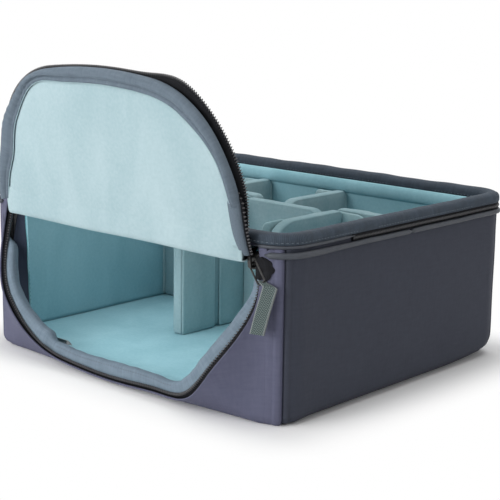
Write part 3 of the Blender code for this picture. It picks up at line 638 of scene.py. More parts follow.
def inner_face(runs, heights, inset, roll):
    """A wall layer's inner face: a plan ring at an inset with a low belly, and a stuffed
    roll under the rim, half an ellipse high and proud, drawn in at the corner seams."""
    local = np.mod(runs, PLAN_LENGTH / 2)
    edge = np.minimum(np.abs(local - FRONT_SEAM), np.abs(local - PLAN_LENGTH / 2 + FRONT_SEAM))
    pulled = ease(edge / 0.005) * ease((heights - FLOOR_TOP) / 0.004)
    rise = np.sqrt(np.clip(1 - ((heights - 0.1142) / 0.0060) ** 2, 0, 1))
    depth = inset + roll * rise * (0.3 + 0.7 * pulled) + 0.16 * roll * hump(heights, 0.062, 0.03) * pulled
    x, y, _, _ = plan(runs, depth)
    return grid_of(x, y, heights)


SIDES = (
    ("rear", REAR_SEAM, PLAN_LENGTH - REAR_SEAM),
    ("right", FRONT_SEAM, REAR_SEAM),
    ("left", PLAN_LENGTH - REAR_SEAM, PLAN_LENGTH - FRONT_SEAM),
)
for layer, inset, roll, thick, paint, slot in (
    ("lining", LINING_INSET, 0.0036, LINING_THICK, lining_paint, "teal_lining"),
    ("foam", FOAM_INSET, 0.0, FOAM_THICK, foam_paint, "foam"),
):
    for side, first, last in SIDES:
        levels = np.concatenate((np.linspace(0.0080, 0.1065, 30), np.linspace(0.1075, LINING_TOP, 22)))
        runs, heights = np.meshgrid(graded(first + 0.0002, last - 0.0002, 90), levels, indexing="ij")
        wall = cloth_mesh(f"{layer}_{side}_wall", inner_face(runs, heights, inset, roll),
                          grid_of(runs, heights), turned=True)
        settle(thicken(wall, thick), "box", slot, paint, f"{layer}_{side}", padded=layer == "foam")
    along, inner, outer, free = mouth_rays(0.0059, 0.0079)
    halves = []
    for half in (along < ARCH_RUN / 2, along > ARCH_RUN / 2):
        here = half & (inner[:, 1] > 0.0090)
        runs, heights, share = on_rays(inner[here], outer[here], 0.92 * free[here], np.ones(here.sum()), 12)
        under = 0.0005 * ease((free[here, None] - share) / 0.05)
        halves.append(cloth_mesh("half", inner_face(runs, heights, inset - under, 0.0),
                                 grid_of(runs, heights)))
    runs, heights, share = on_rays(inner, outer, np.zeros(len(free)), free, 12)
    strip_runs, strip_heights = strip_over(runs, LINING_TOP)
    upper = cloth_mesh("upper", inner_face(strip_runs, strip_heights, inset, 0.0),
                       grid_of(strip_runs, strip_heights), turned=True)
    wall = join(f"{layer}_front_wall", *halves, upper)
    settle(thicken(wall, thick), "box", slot, paint, f"{layer}_front", padded=layer == "foam")


# Lining's border round the mouth: the door wall's lining is loose there and is drawn outward
# with the lip, most of all in both lower corners, so it is a piece of its own too.
def wall_share(run):
    """How much of the lip's pull the wall's inner side follows: none by the hinge, most
    of it in the lower corners and along the sill."""
    return 0.9 * ease((0.326 - run) / 0.044) * ease((run - 0.040) / 0.040)


def wall_inset(run):
    """How far the wall's edge stands in from the arch up the far side, by the hinge."""
    return 0.0118 * ease((run - 0.312) / 0.040)


runs, heights, share = on_rays(inner, outer, np.zeros(len(free)), free, 24)
flop = (1 - share / free[:, None]) ** 1.6
inner_border = inner_face(runs, np.maximum(heights, 0.0079), LINING_INSET, 0.0)
out, down = lip_pull(along)
inner_border[..., 1] -= (wall_share(along) * out)[:, None] * flop
inner_border[..., 0] += wall_inset(along)[:, None] * flop
lowest = 0.0090 + 0.0003 * flop
inner_border[..., 2] = np.maximum(inner_border[..., 2] - (wall_share(along) * down)[:, None] * flop, lowest)
inner_strip = thicken(cloth_mesh("lining_mouth_strip", inner_border, grid_of(runs, heights)), 0.0010)
settle(inner_strip, "box", "teal_lining", lining_paint)
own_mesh(inner_strip)


# Floor: a flat foam board on the base, and over it a panel of the walls' brushed teal
# lining, which is drawn down a little at its edges.
def floor_sheet(name, inset, height, crown):
    """A flat layer on the base: rings of the plan scaled to its middle, a little crowned."""
    ring = np.linspace(0, PLAN_LENGTH, 161)[:-1][:, None]
    share = np.concatenate((np.linspace(0, 0.9, 12), np.linspace(0.92, 1, 8)))[None]
    x, y, _, _ = plan(ring, inset)
    rise = height - crown * share ** 14 + 0.00035 * np.sin(x * share * 70) * np.sin(y * share * 60 + 1)
    points = grid_of(x * share, y * share, rise)
    return cloth_mesh(name, points, np.vstack((points, points[:1]))[..., :2], round_rows=True, weld=True)


def facing_up(item):
    """Turns an open sheet so that its faces look upward."""
    if item.data.polygons[0].normal.z < 0:
        item.data.flip_normals()
    return item


floor_lining = thicken(facing_up(floor_sheet("floor_lining", 0.0096, FLOOR_TOP, 0.0006)), 0.0010)
settle(floor_lining, "box", "teal_lining", lining_paint, "lining_base")
floor_foam = thicken(facing_up(floor_sheet("floor_foam", 0.0090, 0.0074, 0.0)), 0.0058)
settle(floor_foam, "box", "foam", foam_paint, "foam_base", padded=True)

# Rim: one length of dark ribbed cloth, folded over the top of all four walls with its lower
# edges turned in, outside over the wall's cloth and inside over the lining.


def make_ribs():
    """Ribbed tape: rounded ribs across its length, a pitch apart, uneven by a little noise."""
    group, given, result = new_group("ribbed_tape", [("Pitch", 0.001)], ["Ribs"])
    cloth = wire(group, "UVMap", uv_map="cloth")
    count = maths(group, "DIVIDE", 0.31416, given.outputs["Pitch"])
    ribs = wire(group, "TexWave",
                {"Vector": cloth.outputs[0], "Scale": count.outputs[0], "Distortion": 0.4, "Detail": 1.0},
                bands_direction="X")
    group.links.new(ribs.outputs["Fac"], result.inputs["Ribs"])
    return group


ribbed = make_ribs()


def ribbed_paint(name, dark, light, pitch, relief, roughness, sheen):
    """Ribbed cloth: darker in the grooves, mottled like the weave, with rib relief."""
    made, tree, shader = new_paint(name, {"Roughness": roughness, "Sheen Weight": sheen,
                                          "Sheen Tint": (*light, 1)})
    rib = wire(tree, "Group", node_tree=ribbed)
    rib.inputs["Pitch"].default_value = pitch
    threads = wire(tree, "Group", node_tree=weave)
    threads.inputs["Pitch"].default_value = 0.0005
    threads.inputs["Mottle size"].default_value = 0.003
    share = maths(tree, "MULTIPLY", rib.outputs["Ribs"], 0.45)
    share = maths(tree, "MULTIPLY_ADD", threads.outputs["Mottle"], 0.55, share.outputs[0])
    height = maths(tree, "MULTIPLY_ADD", threads.outputs["Threads"], 0.3, rib.outputs["Ribs"])
    colour_and_relief(tree, shader, share.outputs[0], dark, light, height.outputs[0], relief, 0.0003)
    return made


rim_paint = ribbed_paint("rim_cloth", (0.009, 0.016, 0.026), (0.036, 0.055, 0.080), 0.0011, 0.6, 0.80, 0.25)


def section_sweep(name, runs, section, shape, round_rows=False):
    """Carries a closed section of (across, up) points along a path. shape(run, a, b) gives
    the points. Unless the path closes on itself, its first and last rows shrink to their
    own middle."""
    a, b = np.array(section).T
    a, b = np.append(a, a[0]), np.append(b, b[0])
    points = shape(runs[:, None], a[None], b[None])
    if not round_rows:
        ends = points.copy()
        for row in (0, -1):
            ends[row] = points[row, :-1].mean(axis=0)
        points = np.concatenate((ends[:1], points, ends[-1:]))
        runs = np.concatenate((runs[:1] - 0.001, runs, runs[-1:] + 0.001))
    girth = np.concatenate(((0,), np.cumsum(np.hypot(np.diff(a), np.diff(b)))))
    walked = np.append(runs, runs[-1] + (runs[1] - runs[0])) if round_rows else runs
    uv = np.stack(np.meshgrid(walked, girth, indexing="ij"), axis=-1)
    return cloth_mesh(name, points, uv, round_rows=round_rows, weld=True)


def ring_shape(run, inset, height):
    """Round the plan: across is the inset and up is the height, both a little uneven."""
    wobble = 0.00026 * np.sin(run * 88 + 1) + 0.00018 * np.sin(run * 203) + 0.00022 * np.sin(run * 37)
    x, y, _, _ = plan(run, inset - wobble)
    return grid_of(x, y, height + 0.6 * wobble)


def oval(centre_a, centre_b, half_a, half_b, count=14):
    """A closed oval section."""
    angle = np.linspace(0, 2 * math.pi, count + 1)[:-1]
    return grid_of(centre_a + half_a * np.cos(angle), centre_b + half_b * np.sin(angle))


band_section = (
    (-0.0019, 0.1196), (-0.0022, 0.1210), (-0.0023, 0.1228), (-0.0020, 0.1244), (-0.0011, 0.1258),
    (0.0006, 0.1266), (0.0030, 0.1268), (0.0056, 0.1265), (0.0074, 0.1257), (0.0086, 0.1244),
    (0.0091, 0.1226), (0.0092, 0.1206), (0.0090, 0.1194), (0.0082, 0.1192), (0.0079, 0.1205),
    (0.0076, 0.1236), (0.0040, 0.1245), (-0.0002, 0.1240), (-0.0004, 0.1206), (-0.0006, 0.1193),
)
ring_runs = np.linspace(0, PLAN_LENGTH, 501)[:-1]
rim = section_sweep("rim_binding", ring_runs, band_section, ring_shape, round_rows=True)
settle(rim, "box", "rim_cloth", rim_paint, "rim_band")


def scatter(name, template, faces, centres, sides, ups):
    """Copies of one small shape: each point is the centre plus its across, up and along
    parts; along is the cross product of the other two."""
    points = centres[:, None] + template[None, :, :1] * sides[:, None]
    points = points + template[None, :, 1:2] * ups[:, None]
    points = points + template[None, :, 2:] * np.cross(sides, ups)[:, None]
    first_points = len(template) * np.arange(len(centres))
    every = (faces[None] + first_points[:, None, None]).reshape(-1, faces.shape[1])
    flat = np.repeat(template[None, :, 1:], len(centres), axis=0).reshape(-1, 2)
    return put_in_scene(name, points, every, flat[every.ravel()])


def bead_template(half_across, half_up, half_along):
    """A closed rounded bead as (across, up, along) points and its faces: four six-sided
    rings of an ellipsoid, of which the first and last are all but closed."""
    around, rows = 6, 4
    angle = np.linspace(0, 2 * math.pi, around + 1)[:-1]
    tilt = np.linspace(-0.49, 0.49, rows) * math.pi
    girth, reach = np.cos(tilt)[:, None] ** 0.6, np.sin(tilt)[:, None]
    points = grid_of(half_across * girth * np.cos(angle), half_up * girth * np.sin(angle),
                     half_along * reach)
    index = np.arange(rows * around).reshape(rows, around)
    onward = np.roll(index, -1, axis=1)
    faces = grid_of(index[:-1], onward[:-1], onward[1:], index[1:]).reshape(-1, 4)
    first_end = np.array([(0, 5, 4, 3), (0, 3, 2, 1)])
    last_end = index[-1, 0] + np.array([(0, 1, 2, 3), (0, 3, 4, 5)])
    return points.reshape(-1, 3), np.concatenate((faces, first_end, last_end))


def around_plan(runs, inset, height):
    """Centres on the plan ring, with outward and upward directions."""
    x, y, out_x, out_y = plan(runs, inset)
    zero = np.zeros_like(runs)
    centres = grid_of(x, y, zero + height)
    return centres, grid_of(out_x, out_y, zero), grid_of(zero, zero, zero + 1)


# Rim stitches: two rows of grey lockstitch, one along each lower edge of the binding, which
# hold it to the wall's cloth outside and to the lining inside.
stitch = bead_template(0.00022, 0.00026, 0.0009)
stitch_runs = np.arange(0, PLAN_LENGTH, 0.0030)
thread_paint = cloth_paint("thread", (0.060, 0.080, 0.105), (0.140, 0.175, 0.205), 0.0003, 0.0010, 0.3, 0.7,
                           0.2)
for tag, inset, height in (("outside", -0.0023, 0.1211), ("inside", 0.0092, 0.1206)):
    row = scatter(f"rim_stitches_{tag}", *stitch, *around_plan(stitch_runs, inset, height))
    settle(row, "box", "rim_cloth", thread_paint)

# Piping: a round bead of covered cord sewn in under the rim on three sides. Its two ends
# meet in a pinched join on the right wall, and it thins out at the door wall's corners.
BEAD_INSET, BEAD_HEIGHT, BEAD_START = -0.0019, 0.1128, 0.1336
piping_paint = cloth_paint("piping", (0.025, 0.030, 0.040), (0.047, 0.054, 0.068), 0.0005, 0.0020, 0.3,
                           0.55, 0.30)


def bead_shape(run, inset, height):
    """The piping's bead, pinched at its join on the right wall and tapered at its ends."""
    far = from_front(run)
    girth = (0.25 + 0.75 * ease((far - BEAD_START) / 0.004)) * (1 - 0.55 * hump(run, 0.2716, 0.0016))
    girth = girth * (1 + 0.28 * (1 - ease((far - 0.165) / 0.045)))
    inset = BEAD_INSET + (inset - BEAD_INSET) * girth
    return ring_shape(run, inset, BEAD_HEIGHT + (height - BEAD_HEIGHT) * girth)


bead_runs = np.concatenate((np.linspace(BEAD_START, 0.262, 90), np.linspace(0.262, 0.282, 41)[1:],
                            np.linspace(0.282, PLAN_LENGTH - BEAD_START, 380)[1:]))
bead_section = oval(BEAD_INSET, BEAD_HEIGHT, 0.0017, 0.0017)
piping = section_sweep("rim_piping_bead", bead_runs, bead_section, bead_shape)
settle(piping, "box", "piping", piping_paint, "rim_piping")

# Corner rolls: where the lid's zip ends, a soft roll of the piping's cloth fills the place
# under the rim, round each front corner.
ROLL_INSET, ROLL_HEIGHT = -0.0013, 0.1182
roll_runs = np.linspace(0.123, 0.2085, 70)
roll_section = oval(ROLL_INSET, ROLL_HEIGHT, 0.0011, 0.0012)


def roll_shape(run, inset, height):
    """A flattened roll that thins out to both its ends."""
    far = np.minimum(np.abs(run), PLAN_LENGTH - np.abs(run))
    girth = 0.25 + 0.75 * ease((far - 0.122) / 0.01) * ease((0.210 - far) / 0.012)
    inset = ROLL_INSET + (inset - ROLL_INSET) * girth
    return ring_shape(run, inset, ROLL_HEIGHT + (height - ROLL_HEIGHT) * girth)


for tag, sign in (("right", 1), ("left", -1)):
    roll = section_sweep(f"rim_roll_{tag}", sign * roll_runs, roll_section, roll_shape)
    settle(roll, "box", "rim_cloth", piping_paint)

# Lid's zip half: black tape sewn under the rim with its nylon coil outward, from one front
# corner round the back to the other.
tape_paint = ribbed_paint("zip_tape", (0.003, 0.003, 0.004), (0.011, 0.012, 0.015), 0.0008, 0.5, 0.75, 0.04)
tape_paint.node_tree.nodes["Principled BSDF"].inputs["Specular IOR Level"].default_value = 0.15
coil_paint = cloth_paint("zip_coil", (0.020, 0.020, 0.022), (0.075, 0.075, 0.080), 0.0004, 0.0010, 0.1,
                         0.34, 0.0)

lid_runs = np.linspace(0.2065, PLAN_LENGTH - 0.2065, 420)
tape_section = ((-0.0004, 0.1147), (-0.0013, 0.1147), (-0.0014, 0.1172), (-0.0013, 0.1196),
                (-0.0004, 0.1196))
lid_tape = section_sweep("lid_zip_tape", lid_runs, tape_section, ring_shape)
settle(lid_tape, "box", "zip_tape", tape_paint, "rim_zip_half")
lid_tooth_runs = np.arange(0.2075, PLAN_LENGTH - 0.2075, 0.0016)
lid_tooth = bead_template(0.0009, 0.0013, 0.00052)
lid_teeth = scatter("lid_zip_coil", *lid_tooth, *around_plan(lid_tooth_runs, -0.0017, 0.1170))
settle(lid_teeth, "box", "zip_tape", coil_paint)

# Mouth's zip half: a black tape with its nylon coil, sewn along the edge of the arched
# opening. It flops outward with the edge when the door is open.
LIP_START = 0.0012
ZIP_PITCH = 0.0018


def tape_shape(run, offset, depth):
    """The zip tape lies on the lip and goes with it all the way. By the hinge its free end
    is folded outward over the wall, a black strip that is partly painted shade on the wall there."""
    tail = 1 - ease((np.minimum(run, ARCH_RUN - run) - 0.006) / 0.026)
    beyond = ease((offset - 0.0026) / 0.0040)
    return lip_point(run, offset + 0.0030 * tail * beyond, depth - 0.0010 * tail * beyond)


mouth_runs = np.linspace(LIP_START, ARCH_RUN - LIP_START, 300)
mouth_tape_section = ((0.0012, 0.0019), (0.0030, 0.0018), (0.0048, 0.0017), (0.0066, 0.0015),
                      (0.0066, 0.0021), (0.0048, 0.0023), (0.0030, 0.0024), (0.0012, 0.0025))
mouth_tape = section_sweep("mouth_zip_tape", mouth_runs, mouth_tape_section, tape_shape)
settle(mouth_tape, "box", "zip_tape", tape_paint, "mouth_zip_half")


def around(surface, runs, offset, depth):
    """Centres on a surface, with its directions away from the arch's middle and away from
    the wall, taken from small steps along it."""
    centres = surface(runs, offset, depth)
    away = surface(runs, offset + 0.0005, depth) - centres
    onward = surface(runs + 0.0003, offset, depth) - centres
    away = away / np.linalg.norm(away, axis=-1, keepdims=True)
    onward = onward / np.linalg.norm(onward, axis=-1, keepdims=True)
    return centres, away, np.cross(onward, away)


door_tooth = bead_template(0.0014, 0.0010, 0.00050)
mouth_tooth_runs = np.arange(0.0105, ARCH_RUN - 0.0050, ZIP_PITCH)
mouth_teeth = scatter("mouth_zip_coil", *door_tooth, *around(lip_point, mouth_tooth_runs, 0.0012, 0.0020))
settle(mouth_teeth, "box", "zip_tape", coil_paint)

# End of the mouth's zip: the spare tape under the slider is turned back on the door wall
# and sewn down as a rounded black patch. The patch is drawn larger than the tape's end, so
# that it also paints the shade in the recess beside the slider, under the rim's roll.
across, up = np.meshgrid(np.linspace(0, 1, 40), np.linspace(0, 1, 30), indexing="ij")
reach = 0.0120 * (0.45 + 0.55 * np.sin(up * math.pi * 0.85 + 0.25)) + 0.0006 * np.sin(up * 17)
runs, heights = 0.1276 + reach * across, 0.0965 + 0.0145 * up
proud = 0.0014 + 0.0005 * np.sin(across * 9 + up * 4)
outer_face = wall_skin(runs, heights, proud + front_relief(runs, heights))
zip_end_shade_patch = thicken(cloth_mesh("mouth_zip_end_shade_patch", outer_face, grid_of(runs, heights), turned=True), 0.0007)
settle(zip_end_shade_patch, "box", "zip_tape", tape_paint)

# Mouth's binding: a soft blue-grey cloth rolled over the wall's edge behind the tape. One
# row of stitches shows along its near face.
binding_paint = cloth_paint("binding", (0.098, 0.140, 0.183), (0.168, 0.224, 0.278), 0.0006, 0.0018, 0.45,
                            0.80, 0.35)
BINDING_END = 0.3550


def binding_shape(run, offset, depth):
    """A soft roll on the lip: its girth swells round the two lower corners, is pinched by
    a fold near the left one, and thins out to a rounded end short of the hinge."""
    near_end, far_end = ease((run - 0.016) / 0.012), ease((BINDING_END - run) / 0.014)
    girth = 0.12 + 0.88 * np.sqrt(near_end * far_end)
    girth = girth * (1 - 0.30 * hump(run, 0.2570, 0.0050) + 0.10 * hump(run, 0.2670, 0.0070))
    girth = girth * (1 + 0.03 * np.sin(run * 310) + 0.02 * np.sin(run * 523 + 1))
    inward = 0.0034 * ease((run - 0.024) / 0.030) * ease((0.135 - run) / 0.030)
    inward = inward + 0.0034 * hump(run, 0.185, 0.045) + 0.0036 * hump(run, 0.272, 0.026)
    middle_a, middle_b = -0.0010 + 0.0052 * (1 - far_end), 0.0056 - 0.0016 * (1 - far_end)
    ripple = 0.0008 * hump(run, 0.2540, 0.006) - 0.0006 * hump(run, 0.2640, 0.006)
    place = middle_a + (offset - middle_a) * girth + ripple - inward * ease((0.0015 - offset) / 0.006)
    return lip_point(run, place, middle_b + (depth - middle_b) * girth)


binding_section = (
    (-0.0050, 0.0058), (-0.0047, 0.0041), (-0.0032, 0.0031), (-0.0010, 0.0027), (0.0012, 0.0028),
    (0.0036, 0.0029),
    (0.0052, 0.0034), (0.0058, 0.0050), (0.0052, 0.0078), (0.0036, 0.0104), (0.0012, 0.0120),
    (-0.0014, 0.0120),
    (-0.0036, 0.0106), (-0.0048, 0.0082),
)
dense_runs = np.unique(np.concatenate((mouth_runs, np.linspace(0.245, 0.280, 60),
                                       np.linspace(0.345, 0.356, 24))))
binding = section_sweep("mouth_binding_roll", dense_runs, binding_section, binding_shape)
settle(binding, "box", "binding", binding_paint, "mouth_binding", padded=True)
sewn_runs = np.arange(0.128, 0.252, 0.0026)
binding_stitches = scatter("mouth_binding_stitches", *bead_template(0.00024, 0.00028, 0.0009),
                           *around(binding_shape, sewn_runs, -0.0032, 0.0031))
settle(binding_stitches, "box", "binding", thread_paint)

# Facing: a dark strip of smooth cloth over the wall's thickness, from the binding's back to
# the lining, sewn to both.
facing_paint = cloth_paint("facing", (0.016, 0.022, 0.040), (0.036, 0.046, 0.070), 0.0006, 0.0020, 0.4,
                           0.85, 0.15)
facing_paint.node_tree.nodes["Principled BSDF"].inputs["Specular IOR Level"].default_value = 0.2


def facing_shape(run, share, lift):
    """A sheet from the binding's back to the lining's edge: share 0 moves with the lip and
    share 1 stays on the wall; lift is its thickness, and it bellies a little between."""
    offset = 0.0010 + (0.0052 - wall_inset(run)) * share + lift
    depth = 0.0080 + 0.0010 * share
    belly = 0.0012 * np.sin(share * math.pi) + 0.0005 * np.sin(run * 95) * np.sin(share * math.pi)
    follows = wall_share(run) + (1 - wall_share(run)) * (1 - share) ** 1.3
    sheet = lip_point(run, offset + belly, depth, follows)
    sheet[..., 2] = np.maximum(sheet[..., 2], 0.0020 + 0.0056 * share - 2 * lift)
    return sheet


spread = np.linspace(0, 1, 9)
facing_section = np.concatenate((grid_of(spread, 0 * spread), grid_of(spread[::-1], 0.0007 + 0 * spread)))
facing = section_sweep("mouth_facing_strip", mouth_runs, facing_section, facing_shape)
settle(facing, "box", "facing", facing_paint, "mouth_facing")

# Lining's edge at the mouth: turned over a thin cord and stitched through, in the lining's
# teal, darker where it is pressed together.
edge_paint = nap_paint("lining_edge", (0.070, 0.210, 0.250), (0.130, 0.320, 0.360), 0.010, 0.5, 0.3)


def edge_point(run, offset, depth):
    """On the lining's edge, which follows its own share of the lip's pull and never goes
    under the floor's lining."""
    place = lip_point(run, offset - wall_inset(run), depth, wall_share(run))
    place[..., 2] = np.maximum(place[..., 2], 0.0094 + 0.5 * (0.0064 - offset))
    return place


edge_roll = section_sweep("lining_edge_roll", mouth_runs, oval(0.0064, 0.0096, 0.0008, 0.0009, 8),
                          edge_point)
settle(edge_roll, "box", "teal_lining", edge_paint)
edge_stitch_runs = np.arange(0.004, ARCH_RUN - 0.004, 0.0027)
edge_stitches = scatter("lining_edge_stitches", *bead_template(0.00030, 0.00030, 0.0008),
                        *around(edge_point, edge_stitch_runs, 0.0058, 0.0102))
settle(edge_stitches, "box", "teal_lining", edge_paint)

for soft, level in ((mouth_tape, 0.0022), (mouth_teeth, 0.0022), (binding, 0.0130),
                    (binding_stitches, 0.0130),
                    (facing, 0.0126), (edge_roll, 0.0126), (edge_stitches, 0.0126)):
    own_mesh(soft)

# Door: outer cloth, foam and a pale brushed lining, all bound at the edge with a padded
# band, with the other half of the zip behind it. It is shaped shut and turned up as one.
DOOR_ANGLE = math.radians(-172)


def opened(points):
    """Turns points of the shut door about the hinge line."""
    y, z = points[..., 1] - HINGE_Y, points[..., 2] - HINGE_Z
    cos, sin = math.cos(DOOR_ANGLE), math.sin(DOOR_ANGLE)
    return grid_of(points[..., 0], HINGE_Y + y * cos - z * sin, HINGE_Z + y * sin + z * cos)


def door_point(run, offset, depth):
    """On the moved parting line at a depth behind the wall's face, turned up with the door."""
    x, z = arch_line(run, offset)
    return opened(grid_of(x, FRONT + depth, z))


def corner_room(run):
    """How far the band's inner edge gives way outward: at the far corner and down the near
    side; along the far side the band is wider and its edge comes in."""
    near_side = 0.0046 * ease((0.105 - run) / 0.050)
    near_side = near_side + 0.0050 * ease((0.036 - run) / 0.024)
    return near_side + 0.0030 * hump(run, 0.253, 0.022) - 0.0046 * hump(run, 0.330, 0.030)


def band_rise(run):
    """Over the door's top the band is drawn outward, in front of the zip, and down the
    far side it is drawn in."""
    over = 0.0048 * ease((run - 0.040) / 0.080) * ease((0.300 - run) / 0.040)
    return over - 0.0042 * hump(run, 0.342, 0.024) + 0.0016 * ease((run - 0.368) / 0.014)


def door_fan(offset, depth, drop=0.0008, rays=150, steps=34, fuller=0.0):
    """A sheet over the whole door: rays from the middle of the hinge out to the moved
    arch, which is fuller at the corners by a share of the band's narrowing there.
    depth(edge, x, z) gives its depth at a distance from the arch."""
    start = arch_start(offset, drop)
    along = np.linspace(start, ARCH_RUN - start, rays)[:, None]
    x, z = arch_line(along, offset + fuller * (corner_room(along) + band_rise(along)))
    heart = HINGE_Z - drop
    share = np.concatenate((np.linspace(0, 0.86, steps - 12), np.linspace(0.86, 1, 13)[1:]))[None]
    reach = np.hypot(x, z - heart)
    across, height = x * share, heart + (z - heart) * share
    level = depth((1 - share) * reach, across, height)
    shut = grid_of(across, FRONT + level, height)
    return opened(shut), shut[..., [0, 2]]


def lining_depth(edge, x, z):
    """Crowned over the foam, and pulled down in a short round at the band's seam."""
    drawn = np.sqrt(1 - (1 - np.clip(edge / 0.009, 0, 1)) ** 2)
    crown = 0.0016 * np.sin(np.clip(edge / 0.05, 0, 1) * math.pi / 2)
    waves = 0.0004 * np.sin(x * 62 + 1) * np.sin(z * 70) + 0.0003 * np.sin(x * 120 - z * 60)
    return 0.0062 + 0.0020 * drawn + crown + waves * np.clip(edge / 0.02, 0, 1) * ease((0.112 - z) / 0.025)


door_paint = nap_paint("door_lining", (0.285, 0.398, 0.430), (0.365, 0.475, 0.505), 0.035, 0.35, 0.22)
points, uv = door_fan(-0.0123, lining_depth, drop=0.0024, fuller=1.0)
door_pad = thicken(cloth_mesh("door_lining_panel", points, uv, weld=True), 0.0010)
settle(door_pad, "door", "door_lining", door_paint, "door_lining")
points, uv = door_fan(-0.0086, lambda edge, x, z: 0.0059 + 0 * edge, rays=90, steps=20)
door_board = thicken(cloth_mesh("door_foam_board", points, uv, weld=True), 0.0042)
settle(door_board, "door", "foam", foam_paint, "door_foam", padded=True)


def skin_depth(edge, x, z):
    """Slightly crowned outward, with its edge turned in under the tape's stitching."""
    return 0.0012 - 0.0014 * np.sin(np.clip(edge / 0.03, 0,
                                            1) * math.pi / 2) - 0.0003 * np.sin(x * 55) * np.sin(z * 48)


points, uv = door_fan(-0.0058, skin_depth)
door_cloth = thicken(cloth_mesh("door_outer_cloth", points, uv, weld=True), -0.0009)
settle(door_cloth, "door", "front_cloth", front_paint, "door_skin")


# Door's band: a padded binding of blue-grey cloth round the arched edge, gathered at the far
# corner. A fine pale cord shows in the seam between it and the lining.
def band_shape(run, offset, depth):
    """The padded band, with small gathers where it goes round the far corner."""
    gathers = 0.00045 * np.sin(run * 900) * hump(run, 0.285, 0.028)
    swell = 1 + 0.06 * np.sin(run * 57) + 0.05 * np.sin(run * 141 + 2)
    fullness = swell * (0.15 + 0.85 * ease((run - 0.0220) / 0.010))
    inner = ease((-0.0050 - offset) / 0.0060)
    moved = offset + np.minimum(corner_room(run), 0.0062) * inner + band_rise(run)
    return door_point(run, moved, 0.0060 + (depth - 0.0060) * fullness + gathers * (depth > 0.0070))


band_runs = np.linspace(0.0225, ARCH_RUN - arch_start(-0.003, 0.002), 420)
door_band_section = (
    (-0.0136, 0.0076), (-0.0131, 0.0087), (-0.0119, 0.0093), (-0.0108, 0.0089), (-0.0102, 0.0080),
    (-0.0096, 0.0088),
    (-0.0082, 0.0101), (-0.0063, 0.0104), (-0.0045, 0.0097), (-0.0033, 0.0082), (-0.0028, 0.0062),
    (-0.0030, 0.0043),
    (-0.0042, 0.0031), (-0.0060, 0.0027), (-0.0072, 0.0036), (-0.0078, 0.0056), (-0.0110, 0.0062),
    (-0.0130, 0.0066),
)
band_paint = cloth_paint("door_band", (0.070, 0.098, 0.128), (0.124, 0.162, 0.201), 0.0006, 0.0018, 0.45,
                         0.80, 0.30)
door_band = section_sweep("door_binding_band", band_runs, door_band_section, band_shape)
settle(door_band, "door", "binding", band_paint, "door_binding", padded=True)
seam_paint = cloth_paint("pale_thread", (0.20, 0.30, 0.34), (0.36, 0.47, 0.50), 0.0004, 0.0010, 0.3, 0.8,
                         0.3)


def seam_shape(run, offset, depth):
    """The seam's cord goes along the band's inner edge."""
    return door_point(run, offset + corner_room(run) + band_rise(run), depth)


seam_section = oval(-0.0135, 0.0085, 0.00034, 0.00034, 6)
seam_cord = section_sweep("door_lining_seam", band_runs, seam_section, seam_shape)
settle(seam_cord, "door", "door_lining", seam_paint)


# Door's zip half: the same tape and coil as the mouth's, sewn behind the band with the coil
# outward, so that the two rows of coil meet when the door is shut.
def door_tape_point(run, offset, depth):
    """The free zip tape reaches out to meet the sagging lip when shut: its edge drops by
    the lip's own drop. Along both sides it stands back from the door, like a fin."""
    fin = 0.0032 * ease((run - 0.012) / 0.030) * (1 - ease((run - 0.080) / 0.060))
    fin = fin + 0.0050 * hump(run, 0.345, 0.030)
    reach = np.clip((offset + 0.0075) / 0.0063, 0, 1.2)
    x, z = arch_line(run, offset)
    shut = grid_of(x, FRONT + depth - fin * reach ** 1.3, z - lip_pull(run)[1] * reach)
    return opened(shut)


door_tape_section = (
    (-0.0012, 0.0018), (-0.0028, 0.0018), (-0.0044, 0.0018), (-0.0060, 0.0018), (-0.0075, 0.0019),
    (-0.0075, 0.0025),
    (-0.0060, 0.0024), (-0.0044, 0.0024), (-0.0028, 0.0024), (-0.0012, 0.0024),
)
long_runs = np.linspace(0.0040, ARCH_RUN - 0.0040, 320)
door_tape = section_sweep("door_zip_tape", long_runs, door_tape_section, door_tape_point)
settle(door_tape, "door", "zip_tape", tape_paint, "door_zip_half")
door_tooth_runs = np.arange(0.0114, ARCH_RUN - 0.0100, ZIP_PITCH)
door_teeth = scatter("door_zip_coil", *door_tooth,
                     *around(door_tape_point, door_tooth_runs, -0.0012, 0.0021))
settle(door_teeth, "door", "zip_tape", coil_paint)
for soft in (door_tape, door_teeth):
    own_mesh(soft)

# Hinge: the wall's cloth is rolled along the door's top edge, and inside it the door's pale
# lining runs on as a slack fold, down and back to the wall over the mouth.
hinge_runs = np.linspace(-0.1175, 0.1175, 90)


def along_hinge(run, y, z):
    """Straight along X, across is Y and up is Z, with a slight unevenness."""
    uneven = 0.00012 * np.sin(run * 160)
    return grid_of(run, y + uneven, z + uneven)


hinge_roll = section_sweep("hinge_roll", hinge_runs, oval(HINGE_Y, HINGE_Z, 0.0012, 0.0012, 10),
                           along_hinge)
settle(hinge_roll, "box", "binding", binding_paint, "door_hinge_roll")

# (y, z) profile of the lining's fold, from the wall down and up the open door's face
fold_way = np.array((
    (-0.1192, 0.1152), (-0.1215, 0.1128), (-0.1260, 0.1098), (-0.1310, 0.1080), (-0.1350, 0.1072),
    (-0.1380, 0.1074),
    (-0.1398, 0.1087), (-0.1407, 0.1108), (-0.1412, 0.1135), (-0.1415, 0.1165), (-0.1418, 0.1205),
    (-0.1419, 0.1245),
    (-0.1418, 0.1290),
))


